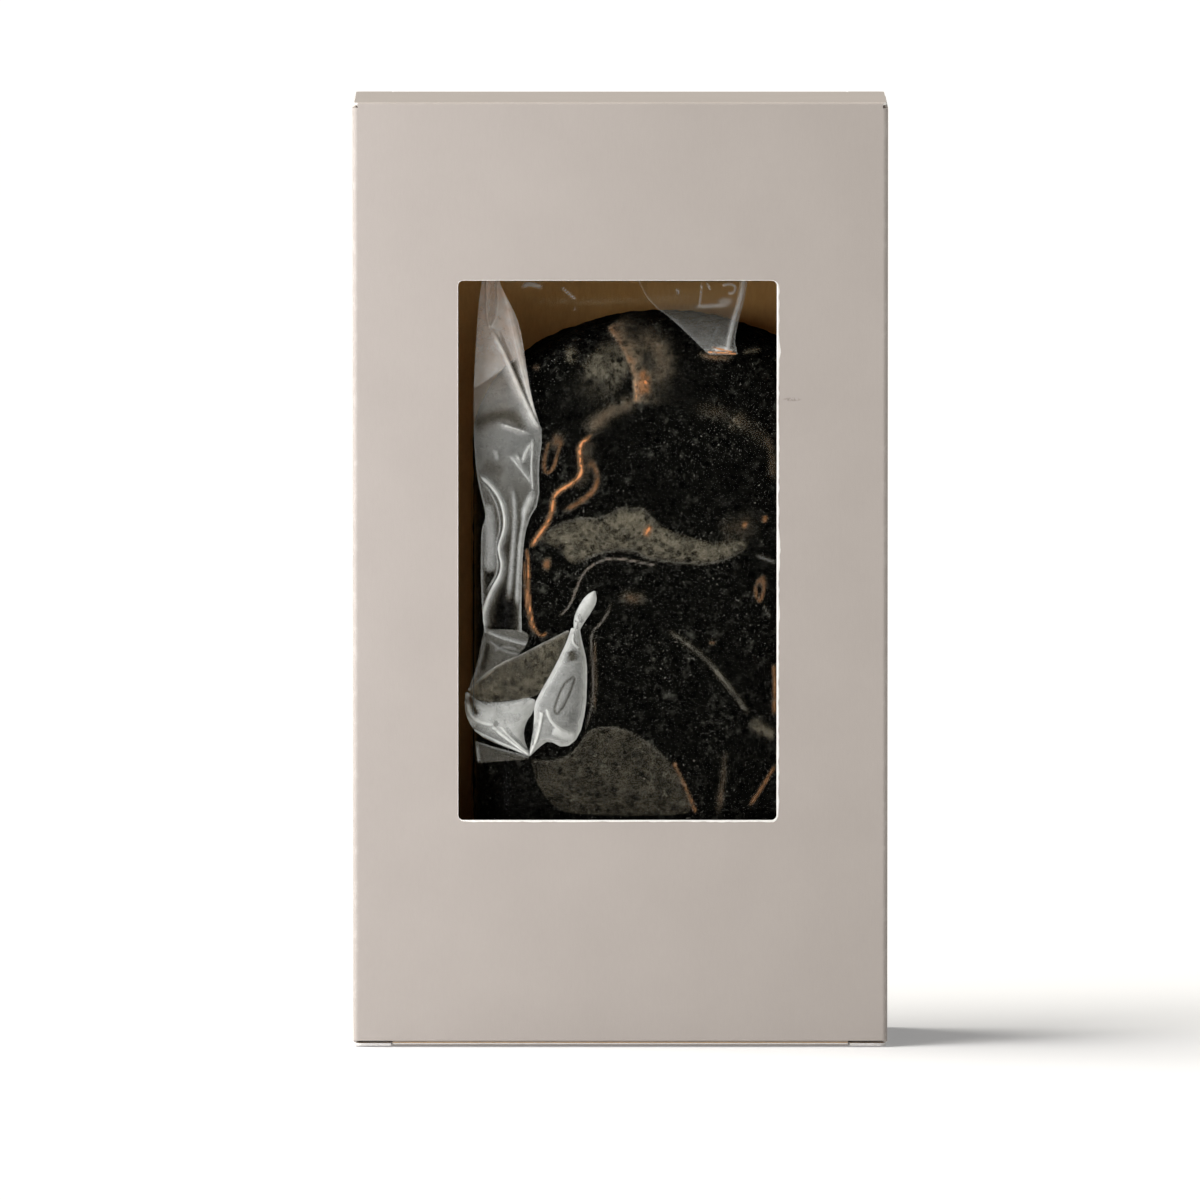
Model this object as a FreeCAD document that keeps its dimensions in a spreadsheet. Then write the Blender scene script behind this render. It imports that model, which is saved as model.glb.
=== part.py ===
"""Window carton with a bagged konjac sponge, drawn in the closed state.

Millimetres, Z up, origin at the middle of the base, front of the carton towards -Y.
The carton is a reverse tuck end: the top lid hinges on the front panel and tucks in
behind the back panel, and the bottom lid hinges on the back panel and tucks in behind
the front panel. Every crease is a round bead with the flap's edge hollowed around it,
so each flap turns on its own crease line without touching its panel.
"""
import FreeCAD, Part
import math
import os

import Sketcher

SIZES = {
    # the carton's outside
    "carton_width": 95.0,
    "carton_depth": 38.0,
    "carton_height": 168.0,
    "board": 0.5,
    "fold_radius": 0.9,
    "bead_radius": 0.4,
    "crease_gap": 0.05,
    "edge_setback": 1.0,
    # the die-cut window in the front panel
    "window_width": 56.7,
    "window_height": 96.2,
    "window_left": 18.65,
    "window_base": 40.3,
    "window_corner": 1.0,
    # lids and their tuck flaps
    "lid_gap": 0.1,
    "lid_side_gap": 0.3,
    "ear_length": 7.0,
    "ear_corner": 1.2,
    "slit_gap": 0.3,
    "tuck_depth": 13.0,
    "tuck_lean": 14.0,
    "tuck_clearance": 0.4,
    "tuck_side_gap": 1.5,
    "tuck_corner": 5.0,
    "tuck_shoulder": 1.5,
    # dust flaps
    "dust_length": 24.0,
    "dust_taper": 12.5,
    "dust_front_gap": 1.0,
    "dust_rear_gap": 1.0,
    "dust_corner": 4.0,
    # glue flap
    "glue_width": 14.0,
    "glue_end": 3.0,
    "glue_taper": 5.0,
    "glue_edge_gap": 0.3,
    # the room around the sponge inside the carton, and its form
    "sponge_left_room": 20.9,
    "sponge_right_room": 4.5,
    "sponge_front_room": 5.5,
    "sponge_back_room": 2.5,
    "sponge_head_room": 36.4,
    "sponge_rise": 24.7,
    "sponge_shoulder": 20.0,
    "sponge_round": 9.5,
    # the film bag around it
    "film": 0.1,
    "film_slack": 0.4,
    "bag_seat_gap": 0.2,
    "bag_margin": 1.7,
    "bag_head_room": 22.0,
    "mouth_gap": 0.3,
    "mouth_fold": 11.0,
    "seal_depth": 10.0,
    "seal_lip": 1.0,
    "seam_width": 12.0,
    "seam_margin": 16.0,
    "side_fold_width": 13.5,
    "side_fold_base": 22.5,
    "side_fold_drop": 8.0,
}


class Dim:
    """A length with its expression in the sheet's names and its value now."""

    def __init__(self, text, value):
        self.text = text
        self.value = float(value)

    def _with(self, sign, other, value):
        text = other.text if isinstance(other, Dim) else repr(other)
        return Dim(f"({self.text} {sign} {text})", value)

    def __add__(self, other):
        return self._with("+", other, self.value + number(other))

    def __sub__(self, other):
        return self._with("-", other, self.value - number(other))

    def __mul__(self, other):
        return self._with("*", other, self.value * number(other))

    def __truediv__(self, other):
        return self._with("/", other, self.value / number(other))

    def __neg__(self):
        return Dim(f"(0 - {self.text})", -self.value)

    def root(self):
        """The square root of this length squared."""
        return Dim(f"sqrt({self.text})", math.sqrt(self.value))


def number(item):
    """The plain number in a Dim or a number."""
    return item.value if isinstance(item, Dim) else float(item)


def fixed(value):
    """A Dim that doesn't depend on the sheet."""
    return Dim(repr(float(value)), value)


doc = FreeCAD.newDocument("konjac_sponge_pack")
sheet = doc.addObject("Spreadsheet::Sheet", "Sizes")
for row, (alias, amount) in enumerate(SIZES.items(), start=1):
    sheet.set(f"A{row}", alias)
    sheet.set(f"B{row}", repr(amount))
    sheet.setAlias(f"B{row}", alias)
doc.recompute()


def size(alias):
    """One size of the sheet."""
    return Dim(f"{sheet.Name}.{alias}", sheet.get(alias))


width = size("carton_width")
depth = size("carton_depth")
height = size("carton_height")
board = size("board")
fold = size("fold_radius")
bead = size("bead_radius")
hollow = bead + size("crease_gap")
film = size("film")
half_width = width / 2
half_depth = depth / 2

# How far a bead's circle reaches past its centre along the board's inner face.
bead_reach = (bead * bead - (board - bead) * (board - bead)).root()
# Crease lines: the lids' on the outer faces, the dust flaps' one board further in.
lid_axis = half_depth - bead
dust_axis_drop = board + size("lid_gap") + bead
dust_axis_x = half_width - bead
tuck_axis = half_depth - board - size("tuck_clearance") - bead

# The sponge takes what the carton leaves it, and the bag goes round the sponge.
leaf = film * 2
skin = size("film_slack") + film
sponge_left = board + size("sponge_left_room") - half_width
sponge_right = half_width - board - size("sponge_right_room")
sponge_front = board + size("sponge_front_room") - half_depth
sponge_back = half_depth - board - size("sponge_back_room")
pack_x = (sponge_left + sponge_right) / 2
pack_y = (sponge_front + sponge_back) / 2
pack_floor = dust_axis_drop + board - bead + size("bag_seat_gap") + leaf
sponge_base = pack_floor + skin
sponge_top = height - size("sponge_head_room")
bag_half = (sponge_right - sponge_left) / 2 + size("bag_margin")
bag_top = height - size("bag_head_room")


class Arc:
    """A round run of an outline: centre, radius, and whether it turns left."""

    def __init__(self, x, y, radius, left):
        self.x = x
        self.y = y
        self.radius = radius
        self.left = left


def vector(x, y):
    return FreeCAD.Vector(number(x), number(y), 0)


def bind(sketch, kind, geometry, point, amount):
    """Holds a point's place, or a radius, to an expression."""
    if kind == "Radius":
        rule = Sketcher.Constraint(kind, geometry, amount.value)
    else:
        rule = Sketcher.Constraint(kind, -1, 1, geometry, point, amount.value)
    index = sketch.addConstraint(rule)
    sketch.setExpression(f"Constraints[{index}]", amount.text)


def outline(sketch, corners):
    """Draws a closed run through corners (x, y) or (x, y, Arc to the next corner)."""
    ends = []
    for place, corner in enumerate(corners):
        after = corners[(place + 1) % len(corners)]
        start = vector(corner[0], corner[1])
        stop = vector(after[0], after[1])
        if len(corner) == 2:
            run = sketch.addGeometry(Part.LineSegment(start, stop))
            ends.append((run, 1, 2))
            continue
        arc = corner[2]
        centre = vector(arc.x, arc.y)
        circle = Part.Circle(centre, FreeCAD.Vector(0, 0, 1), arc.radius.value)
        first = start if arc.left else stop
        last = stop if arc.left else start
        begin = math.atan2(first.y - centre.y, first.x - centre.x)
        finish = math.atan2(last.y - centre.y, last.x - centre.x)
        run = sketch.addGeometry(Part.ArcOfCircle(circle, begin, finish))
        ends.append((run, 1, 2) if arc.left else (run, 2, 1))
    for place, (run, start, stop) in enumerate(ends):
        following, start_after, _ = ends[(place + 1) % len(ends)]
        sketch.addConstraint(
            Sketcher.Constraint("Coincident", run, stop, following, start_after)
        )
    for corner, (run, start, stop) in zip(corners, ends):
        bind(sketch, "DistanceX", run, start, corner[0])
        bind(sketch, "DistanceY", run, start, corner[1])
        if len(corner) == 3:
            bind(sketch, "Radius", run, start, corner[2].radius)


def ring(sketch, x, y, radius):
    """Draws a full circle."""
    circle = Part.Circle(vector(x, y), FreeCAD.Vector(0, 0, 1), radius.value)
    run = sketch.addGeometry(circle)
    bind(sketch, "DistanceX", run, 3, x)
    bind(sketch, "DistanceY", run, 3, y)
    bind(sketch, "Radius", run, 3, radius)


def new_body(label):
    body = doc.addObject("PartDesign::Body", label)
    body.Label = label
    return body


def new_sketch(body, plane, name, offset=None):
    """A sketch on one of the body's own planes, moved along the plane's normal."""
    sketch = body.newObject("Sketcher::SketchObject", f"{body.Name}_{name}")
    found = [item for item in body.Origin.OriginFeatures if item.Role == plane]
    sketch.AttachmentSupport = [(found[0], "")]
    sketch.MapMode = "FlatFace"
    if offset is not None:
        sketch.setExpression("AttachmentOffset.Base.z", offset.text)
    return sketch


def pad(body, sketch, length, back=None, symmetric=False):
    """Pads a sketch one way, both ways by two lengths, or evenly both ways."""
    feature = body.newObject("PartDesign::Pad", f"{sketch.Name}_pad")
    feature.Profile = sketch
    feature.setExpression("Length", length.text)
    if back is not None:
        feature.SideType = "Two sides"
        feature.setExpression("Length2", back.text)
    if symmetric:
        feature.SideType = "Symmetric"
    doc.recompute()
    return feature


def cut_through(body, sketch):
    """Cuts a sketch right through the body, both ways from its plane."""
    feature = body.newObject("PartDesign::Pocket", f"{sketch.Name}_pocket")
    feature.Profile = sketch
    feature.SideType = "Symmetric"
    feature.Type = "ThroughAll"
    doc.recompute()
    return feature


def edges_where(feature, test):
    """The names of the edges whose middle and direction pass a test."""
    names = []
    for place, edge in enumerate(feature.Shape.Edges, start=1):
        middle = edge.valueAt((edge.FirstParameter + edge.LastParameter) / 2)
        if test(edge, middle):
            names.append(f"Edge{place}")
    return names


def round_edges(body, feature, names, radius):
    fillet = body.newObject("PartDesign::Fillet", f"{body.Name}_round")
    fillet.Base = (feature, names)
    fillet.setExpression("Radius", radius.text)
    doc.recompute()
    return fillet


def bevel_edges(body, feature, names, leg):
    chamfer = body.newObject("PartDesign::Chamfer", f"{body.Name}_bevel")
    chamfer.Base = (feature, names)
    chamfer.setExpression("Size", leg.text)
    doc.recompute()
    return chamfer


def place(item, x, y, z, angle):
    """Puts a piece at a point, turned about the X direction."""
    item.Placement.Rotation = FreeCAD.Rotation(FreeCAD.Vector(1, 0, 0), angle.value)
    item.setExpression("Placement.Rotation.Angle", angle.text)
    for name, amount in (("x", x), ("y", y), ("z", z)):
        item.setExpression(f"Placement.Base.{name}", amount.text)


zero = fixed(0)
nodes = []


def front_panel():
    """The windowed panel, with the top lid's crease bead along its upper edge."""
    body = new_body("front_panel")
    crease = height - bead
    section = new_sketch(body, "YZ_Plane", "section")
    outline(
        section,
        [
            (-half_depth, size("edge_setback")),
            (-half_depth, crease, Arc(-lid_axis, crease, bead, False)),
            (board - half_depth, crease - bead_reach),
            (board - half_depth, size("edge_setback")),
        ],
    )
    pad(body, section, width - fold * 2, symmetric=True)
    left = size("window_left") - half_width
    right = left + size("window_width")
    base = size("window_base")
    top = base + size("window_height")
    corner = size("window_corner")
    window = new_sketch(body, "XZ_Plane", "window")
    outline(
        window,
        [
            (left + corner, base),
            (right - corner, base, Arc(right - corner, base + corner, corner, True)),
            (right, base + corner),
            (right, top - corner, Arc(right - corner, top - corner, corner, True)),
            (right - corner, top),
            (left + corner, top, Arc(left + corner, top - corner, corner, True)),
            (left, top - corner),
            (left, base + corner, Arc(left + corner, base + corner, corner, True)),
        ],
    )
    cut_through(body, window)
    return body


def back_panel():
    """The plain panel, with the bottom lid's crease bead along its lower edge."""
    body = new_body("back_panel")
    raw = height - size("edge_setback")
    section = new_sketch(body, "YZ_Plane", "section")
    outline(
        section,
        [
            (half_depth, raw),
            (half_depth, bead, Arc(lid_axis, bead, bead, False)),
            (half_depth - board, bead + bead_reach),
            (half_depth - board, raw),
        ],
    )
    pad(body, section, half_width - fold, back=half_width - board - fold)
    return body


def side_panel(label, side, glued):
    """A side panel with both dust flaps' beads and its rounded corner folds."""
    body = new_body(label)
    low = dust_axis_drop
    high = height - dust_axis_drop
    outer = half_width * side
    inner = (half_width - board) * side
    axis = dust_axis_x * side
    turn = side > 0
    section = new_sketch(body, "XZ_Plane", "section")
    outline(
        section,
        [
            (outer, low),
            (outer, high, Arc(axis, high, bead, turn)),
            (inner, high - bead_reach),
            (inner, low + bead_reach, Arc(axis, low, bead, turn)),
        ],
    )
    rear = half_depth - (size("glue_edge_gap") if glued else fold)
    pad(body, section, half_depth - fold, back=rear)
    for end in (-1,) if glued else (-1, 1):
        middle_x = (half_width - fold) * side
        middle_y = (half_depth - fold) * end
        ccw = side * end < 0
        corner = new_sketch(body, "XY_Plane", "corner" + str(end % 3), low)
        outline(
            corner,
            [
                (middle_x, half_depth * end, Arc(middle_x, middle_y, fold, ccw)),
                (outer, middle_y),
                (inner, middle_y, Arc(middle_x, middle_y, fold - board, not ccw)),
                (middle_x, (half_depth - board) * end),
            ],
        )
        corner.setExpression("AttachmentOffset.Base.z", low.text)
        pad(body, corner, high - low)
    return body


def glue_flap():
    """The back panel's glue flap, folded in and stuck to the left side panel."""
    body = new_body("glue_flap")
    outer = board - half_width
    rear = half_depth - fold
    end = size("glue_end")
    taper = size("glue_taper")
    blank = new_sketch(body, "YZ_Plane", "leaf", outer)
    outline(
        blank,
        [
            (rear, end),
            (rear, height - end),
            (rear - size("glue_width"), height - end - taper),
            (rear - size("glue_width"), end + taper),
        ],
    )
    pad(body, blank, board)
    corner = new_sketch(body, "XY_Plane", "corner", end)
    middle = outer + fold
    outline(
        corner,
        [
            (middle, half_depth, Arc(middle, rear, fold, True)),
            (outer, rear),
            (outer + board, rear, Arc(middle, rear, fold - board, False)),
            (middle, half_depth - board),
        ],
    )
    pad(body, corner, height - end * 2)
    return body


def lid(label):
    """A lid in its end's frame: outer face at zero, cut square clear of its crease.

    The square edge lets it fold right over until it lies straight out.
    """
    body = new_body(label)
    reach = tuck_axis + bead
    lid_width = width - size("lid_side_gap") * 2
    plate = new_sketch(body, "YZ_Plane", "plate")
    outline(
        plate,
        [
            (hollow - lid_axis, zero),
            (hollow - lid_axis, -board),
            (reach, -board),
            (reach, zero),
        ],
    )
    feature = pad(body, plate, lid_width, symmetric=True)
    corner_x = lid_width.value / 2
    names = edges_where(
        feature,
        lambda edge, middle: abs(abs(middle.x) - corner_x) < 1e-4
        and abs(middle.y - reach.value) < 1e-4
        and edge.Length < board.value * 1.01,
    )
    round_edges(body, feature, names, size("ear_corner"))
    # Slits part the ears from the tuck crease, whose bead fills the run between them.
    span = (width - size("ear_length") * 2) / 2
    land = tuck_axis - board * 2
    slit = span + size("slit_gap")
    opening = new_sketch(body, "XY_Plane", "slits")
    past = reach + board
    outline(opening, [(-slit, land), (slit, land), (slit, past), (-slit, past)])
    cut_through(body, opening)
    crease = new_sketch(body, "YZ_Plane", "crease")
    outline(
        crease,
        [
            (land, zero),
            (tuck_axis, zero, Arc(tuck_axis, -bead, bead, False)),
            (tuck_axis - bead_reach, -board),
            (land, -board),
        ],
    )
    pad(body, crease, span * 2, symmetric=True)
    return body


def tuck_flap(label):
    """A tuck flap hanging from its crease line, with shoulders and round corners."""
    body = new_body(label)
    span = (width - size("ear_length") * 2) / 2
    wide = half_width - board - size("tuck_side_gap")
    low = -size("tuck_depth")
    round_at = size("tuck_corner")
    shoulder = size("tuck_shoulder")
    top = -bead / 4
    blank = new_sketch(body, "XZ_Plane", "leaf", -bead)
    outline(
        blank,
        [
            (-span, top),
            (-span, -shoulder),
            (-wide, -shoulder * 2),
            (-wide, low + round_at, Arc(round_at - wide, low + round_at, round_at, True)),
            (round_at - wide, low),
            (wide - round_at, low, Arc(wide - round_at, low + round_at, round_at, True)),
            (wide, low + round_at),
            (wide, -shoulder * 2),
            (span, -shoulder),
            (span, top),
        ],
    )
    pad(body, blank, board)
    groove = new_sketch(body, "YZ_Plane", "crease")
    ring(groove, zero, zero, hollow)
    cut_through(body, groove)
    return body


def dust_flap(label, side):
    """A dust flap reaching in from its crease line, cut back along the lid's hinge."""
    body = new_body(label)
    length = size("dust_length")
    front = size("dust_front_gap") - lid_axis
    lock = tuck_axis - bead - size("dust_rear_gap")
    shoulder = size("tuck_shoulder")
    rear = lock - shoulder
    ear = size("ear_length")
    round_at = size("dust_corner")
    near = bead / 4
    tip = Arc((length - round_at) * side, rear - round_at, round_at, side > 0)
    blank = new_sketch(body, "XY_Plane", "leaf", bead - board)
    outline(
        blank,
        [
            (near * side, front),
            (length * side, front + size("dust_taper")),
            (length * side, rear - round_at, tip),
            ((length - round_at) * side, rear),
            ((ear + shoulder) * side, rear),
            (ear * side, lock),
            (near * side, lock),
        ],
    )
    pad(body, blank, board)
    groove = new_sketch(body, "XZ_Plane", "crease")
    ring(groove, zero, zero, hollow)
    cut_through(body, groove)
    return body


def sponge_form(label, grow, taut=False):
    """The sponge's oblong with basket-arched ends, grown by a length.

    Its rims are round, or bevelled where a taut film bridges the round.
    """
    body = new_body(label)
    across = pack_x
    base = sponge_base
    top = sponge_top
    half = (sponge_right - sponge_left) / 2
    rise = size("sponge_rise")
    shoulder = size("sponge_shoulder")
    inset = half - shoulder
    crown = (inset * inset + rise * rise - shoulder * shoulder) / ((rise - shoulder) * 2)
    # Where the crown's arc meets a shoulder's, as shares of the crown's radius.
    run_x = inset / (crown - shoulder)
    run_z = (crown - rise) / (crown - shoulder)
    grown = crown + grow
    left = across - half - grow
    right = across + half + grow
    upper = top - rise
    lower = base + rise
    meet_x = run_x * grown
    meet_up = top - crown + run_z * grown
    meet_down = base + crown - run_z * grown
    small = shoulder + grow
    sketch = new_sketch(body, "XZ_Plane", "outline", -pack_y)
    outline(
        sketch,
        [
            (left, lower),
            (left, upper, Arc(across - inset, upper, small, False)),
            (across - meet_x, meet_up, Arc(across, top - crown, grown, False)),
            (across + meet_x, meet_up, Arc(across + inset, upper, small, False)),
            (right, upper),
            (right, lower, Arc(across + inset, lower, small, False)),
            (across + meet_x, meet_down, Arc(across, base + crown, grown, False)),
            (across - meet_x, meet_down, Arc(across - inset, lower, small, False)),
        ],
    )
    thick = sponge_back - sponge_front + grow * 2
    feature = pad(body, sketch, thick, symmetric=True)
    middle_y = pack_y.value
    rim = thick.value / 2
    names = edges_where(
        feature,
        lambda edge, middle: abs(abs(middle.y - middle_y) - rim) < 1e-4,
    )
    rounding = size("sponge_round") + grow
    if taut:
        # The bevel that touches the round halfway along its arc.
        bevel_edges(body, feature, names, rounding * (2 - math.sqrt(2)))
    else:
        round_edges(body, feature, names, rounding)
    return body


def cut(label, base, tool):
    """One piece less another."""
    result = doc.addObject("Part::Cut", label)
    result.Label = label
    result.Base = base
    result.Tool = tool
    doc.recompute()
    return result


def bag_top_fold(filled):
    """The bag's empty mouth: two films flat together, folded over at the top."""
    body = new_body("bag_mouth_form")
    gap = size("mouth_gap")
    middle = pack_y
    outer = leaf + gap / 2
    top = bag_top - outer
    low = sponge_top - size("sponge_rise")
    axis = middle + gap / 2
    end = top - size("mouth_fold")
    section = new_sketch(body, "YZ_Plane", "section", pack_x)
    outline(
        section,
        [
            (middle - leaf, low),
            (middle - leaf, top, Arc(axis, top, outer, False)),
            (axis, top + outer, Arc(axis, top, outer, False)),
            (middle + gap + leaf, top),
            (middle + gap + leaf, end),
            (middle + gap, end),
            (middle + gap, top, Arc(axis, top, gap / 2, True)),
            (axis, top + gap / 2, Arc(axis, top, gap / 2, True)),
            (middle, top),
            (middle, low),
        ],
    )
    pad(body, section, bag_half * 2, symmetric=True)
    return cut("bag_top_fold", body, filled)


def bag_bottom_seal():
    """The heat-sealed lower end, folded flat under the pack."""
    body = new_body("bag_bottom_seal")
    left = pack_x - bag_half
    right = pack_x + bag_half
    front = pack_y - size("seal_lip")
    rear = pack_y + size("seal_depth")
    sketch = new_sketch(body, "XY_Plane", "leaf", pack_floor - leaf)
    outline(sketch, [(left, front), (right, front), (right, rear), (left, rear)])
    pad(body, sketch, leaf)
    return body


def bag_back_seam():
    """The lap seam down the middle of the bag's back."""
    body = new_body("bag_back_seam")
    left = pack_x - size("seam_width") / 2
    right = pack_x + size("seam_width") / 2
    low = sponge_base + size("seam_margin")
    high = sponge_top - size("seam_margin")
    sketch = new_sketch(body, "XZ_Plane", "leaf", -sponge_back - skin - leaf)
    outline(sketch, [(left, low), (right, low), (right, high), (left, high)])
    pad(body, sketch, leaf)
    return body


def bag_side_fold():
    """The bag's spare width, folded over onto the front along the left edge."""
    body = new_body("bag_side_fold")
    left = sponge_left
    right = left + size("side_fold_width")
    low = pack_floor + size("side_fold_base")
    high = bag_top - size("side_fold_drop")
    sketch = new_sketch(body, "XZ_Plane", "leaf", skin - sponge_front)
    outline(sketch, [(left, low), (right, low), (right, high), (left, high)])
    pad(body, sketch, leaf)
    return body


nodes.append(front_panel())
nodes.append(back_panel())
nodes.append(side_panel("left_side_panel", -1, True))
nodes.append(side_panel("right_side_panel", 1, False))
nodes.append(glue_flap())

half_turn = fixed(180)
for end in ("top", "bottom"):
    upper = end == "top"
    lid_piece = lid(f"{end}_lid")
    place(lid_piece, zero, zero, height if upper else zero, zero if upper else half_turn)
    nodes.append(lid_piece)
    tuck_piece = tuck_flap(f"{end}_tuck_flap")
    lean = size("tuck_lean")
    place(
        tuck_piece,
        zero,
        tuck_axis if upper else -tuck_axis,
        height - bead if upper else bead,
        -lean if upper else half_turn - lean,
    )
    nodes.append(tuck_piece)
    for hand, side in (("left", 1), ("right", -1)):
        flap = dust_flap(f"{end}_dust_flap_{hand}", side)
        place(
            flap,
            dust_axis_x * -side,
            zero,
            height - dust_axis_drop if upper else dust_axis_drop,
            zero if upper else half_turn,
        )
        nodes.append(flap)

nodes.append(sponge_form("sponge", zero))
bag_inner = sponge_form("bag_inner_form", size("film_slack"), taut=True)
bag_outer = sponge_form("bag_outer_form", skin, taut=True)
nodes.append(cut("film_bag", bag_outer, bag_inner))
nodes.append(bag_top_fold(bag_outer))
nodes.append(bag_bottom_seal())
nodes.append(bag_back_seam())
nodes.append(bag_side_fold())

doc.recompute()
for item in doc.Objects:
    if "Invalid" in item.State or "Error" in item.State:
        raise RuntimeError(f"{item.Label} did not compute: {item.State}")
for node in nodes:
    if node.Shape.isNull() or not node.Shape.isValid():
        raise RuntimeError(f"{node.Label} has no valid shape")
os.makedirs("parts", exist_ok=True)
for node in nodes:
    node.Shape.exportStep(f"parts/{node.Label}.step")
    box = node.Shape.BoundBox
    print(
        f"{node.Label}: solids {len(node.Shape.Solids)} volume {node.Shape.Volume:.1f}"
        f" x {box.XMin:.2f} {box.XMax:.2f} y {box.YMin:.2f} {box.YMax:.2f}"
        f" z {box.ZMin:.2f} {box.ZMax:.2f}"
    )
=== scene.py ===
"""Dresses a windowed folding carton that holds a black sponge in a clear film bag."""

from __future__ import annotations

import logging
import math
from dataclasses import dataclass
from enum import Enum
from functools import partial
from typing import Callable, Sequence, Union

import bmesh
import bpy
import numpy as np
from bpy.types import ID, Material, Node, NodeSocket, NodeTree, Object
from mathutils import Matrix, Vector, noise


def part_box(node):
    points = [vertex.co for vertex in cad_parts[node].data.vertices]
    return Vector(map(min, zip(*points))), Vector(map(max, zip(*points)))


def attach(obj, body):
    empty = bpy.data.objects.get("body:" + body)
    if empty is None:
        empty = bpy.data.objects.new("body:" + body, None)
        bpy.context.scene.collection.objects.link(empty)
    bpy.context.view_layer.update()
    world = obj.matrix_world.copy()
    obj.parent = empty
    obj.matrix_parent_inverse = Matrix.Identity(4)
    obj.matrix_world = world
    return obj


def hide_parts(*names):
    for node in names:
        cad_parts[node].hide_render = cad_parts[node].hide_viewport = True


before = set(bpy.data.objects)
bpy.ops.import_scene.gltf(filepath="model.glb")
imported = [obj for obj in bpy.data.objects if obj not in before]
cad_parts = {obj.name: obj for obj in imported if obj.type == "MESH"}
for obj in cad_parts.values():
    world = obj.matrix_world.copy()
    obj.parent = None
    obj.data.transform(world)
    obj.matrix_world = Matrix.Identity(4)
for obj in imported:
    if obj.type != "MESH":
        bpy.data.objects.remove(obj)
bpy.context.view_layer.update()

LOG = logging.getLogger("sponge_carton")
MM = 0.001
TINY = 1e-9
JOIN = 0.02 * MM
PACK = "pack"
# Marks kept on the film's points: whitening, partly real and partly painted highlight and shade; painted amber and
# grey reflections; and a haze where it clings that is a painted reflection.
MARKS = ("crease", "amber_reflection", "grey_reflection", "cling_reflection")

Colour = tuple[float, float, float]
Pair = tuple[float, float]
Path = Sequence[Pair]
Value = Union[float, Colour, NodeSocket]
Array = np.ndarray


class BoardFace(Enum):
    """The three looks of a piece of carton board, in the order of its material slots."""

    PRINT = 0
    KRAFT = 1
    CUT = 2


Rule = Callable[[Vector, Vector], BoardFace]
Lean = Callable[[Array], Array]


class Tree:
    """Adds nodes to one node tree and links them."""

    MIX_INPUTS = (0, 6, 7)
    MIX_RESULT = 2

    def __init__(self, tree: NodeTree) -> None:
        """Keeps the tree that the nodes go into."""
        self.tree = tree

    def add(self, kind: str, option: tuple[str, object] | None = None, **inputs: Value) -> Node:
        """Adds one node and fills its inputs.

        Args:
            kind: the node's Blender type.
            option: a setting of the node's own and its value.
            inputs: by input name with underscores for spaces, a value or a socket.

        Returns:
            The new node.
        """
        node = self.tree.nodes.new(kind)
        if option:
            setattr(node, *option)
        self.fill(node, **inputs)
        return node

    def fill(self, node: Node, **inputs: Value) -> None:
        """Fills a node's inputs, which are named with underscores for spaces."""
        for name, value in inputs.items():
            self.feed(node.inputs[name.replace("_", " ")], value)

    def feed(self, socket: NodeSocket, value: Value) -> None:
        """Links a socket to an input, or sets the input's own value.

        Args:
            socket: the input.
            value: a socket to link, or a plain value.
        """
        if isinstance(value, NodeSocket):
            self.tree.links.new(value, socket)
        else:
            socket.default_value = (*value, 1.0) if socket.type == "RGBA" else value

    def math(self, operation: str, *values: Value, clamp: bool = False) -> NodeSocket:
        """Runs one operation over values in order.

        Args:
            operation: Blender's name for the operation.
            values: the values or sockets, one or more.
            clamp: keeps the result from 0 to 1.

        Returns:
            The result's socket.
        """
        result = values[0]
        for value in values[1:] or (0.0,):
            node = self.add("ShaderNodeMath", ("operation", operation))
            self.feed(node.inputs[0], result)
            self.feed(node.inputs[1], value)
            result = node.outputs[0]
        node.use_clamp = clamp
        return result

    def mix(self, share: Value, a: Value, b: Value) -> NodeSocket:
        """Mixes two colours.

        Args:
            share: the second colour's share, from 0 to 1.
            a: the first colour.
            b: the second colour.

        Returns:
            The mixed colour's socket.
        """
        node = self.add("ShaderNodeMix", ("data_type", "RGBA"))
        for index, value in zip(self.MIX_INPUTS, (share, a, b)):
            self.feed(node.inputs[index], value)
        return node.outputs[self.MIX_RESULT]

    def noise(self, place: NodeSocket, scale: float, detail: float = 2.0, rough: float = 0.5) -> NodeSocket:
        """A noise texture's value, for features of about one over scale metres."""
        node = self.add("ShaderNodeTexNoise", Vector=place, Scale=scale, Detail=detail, Roughness=rough)
        return node.outputs["Fac"]

    def ramp(self, value: Value, low: float, high: float, to: Pair = (0.0, 1.0)) -> NodeSocket:
        """A smooth step from low to high.

        Args:
            value: the socket that is stepped.
            low: where the step starts.
            high: where it ends.
            to: the values before and after it.

        Returns:
            The stepped value's socket.
        """
        node = self.add("ShaderNodeMapRange", ("interpolation_type", "SMOOTHSTEP"), Value=value)
        self.fill(node, From_Min=low, From_Max=high, To_Min=to[0], To_Max=to[1])
        return node.outputs["Result"]

    def bump(self, height: NodeSocket, strength: float, distance: float) -> NodeSocket:
        """The normal of a relief that is that many metres deep."""
        return self.add("ShaderNodeBump", Height=height, Strength=strength, Distance=distance).outputs[0]

    def group(self, tree: NodeTree, **inputs: Value) -> Node:
        """Places a node group and fills its inputs."""
        return self.add("ShaderNodeGroup", ("node_tree", tree), **inputs)

    def place(self) -> NodeSocket:
        """The point's place on the piece itself, in metres."""
        return self.add("ShaderNodeTexCoord").outputs["Object"]

    def attribute(self, name: str) -> NodeSocket:
        """A value kept on the mesh's own points."""
        return self.add("ShaderNodeAttribute", ("attribute_name", name)).outputs["Fac"]


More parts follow.
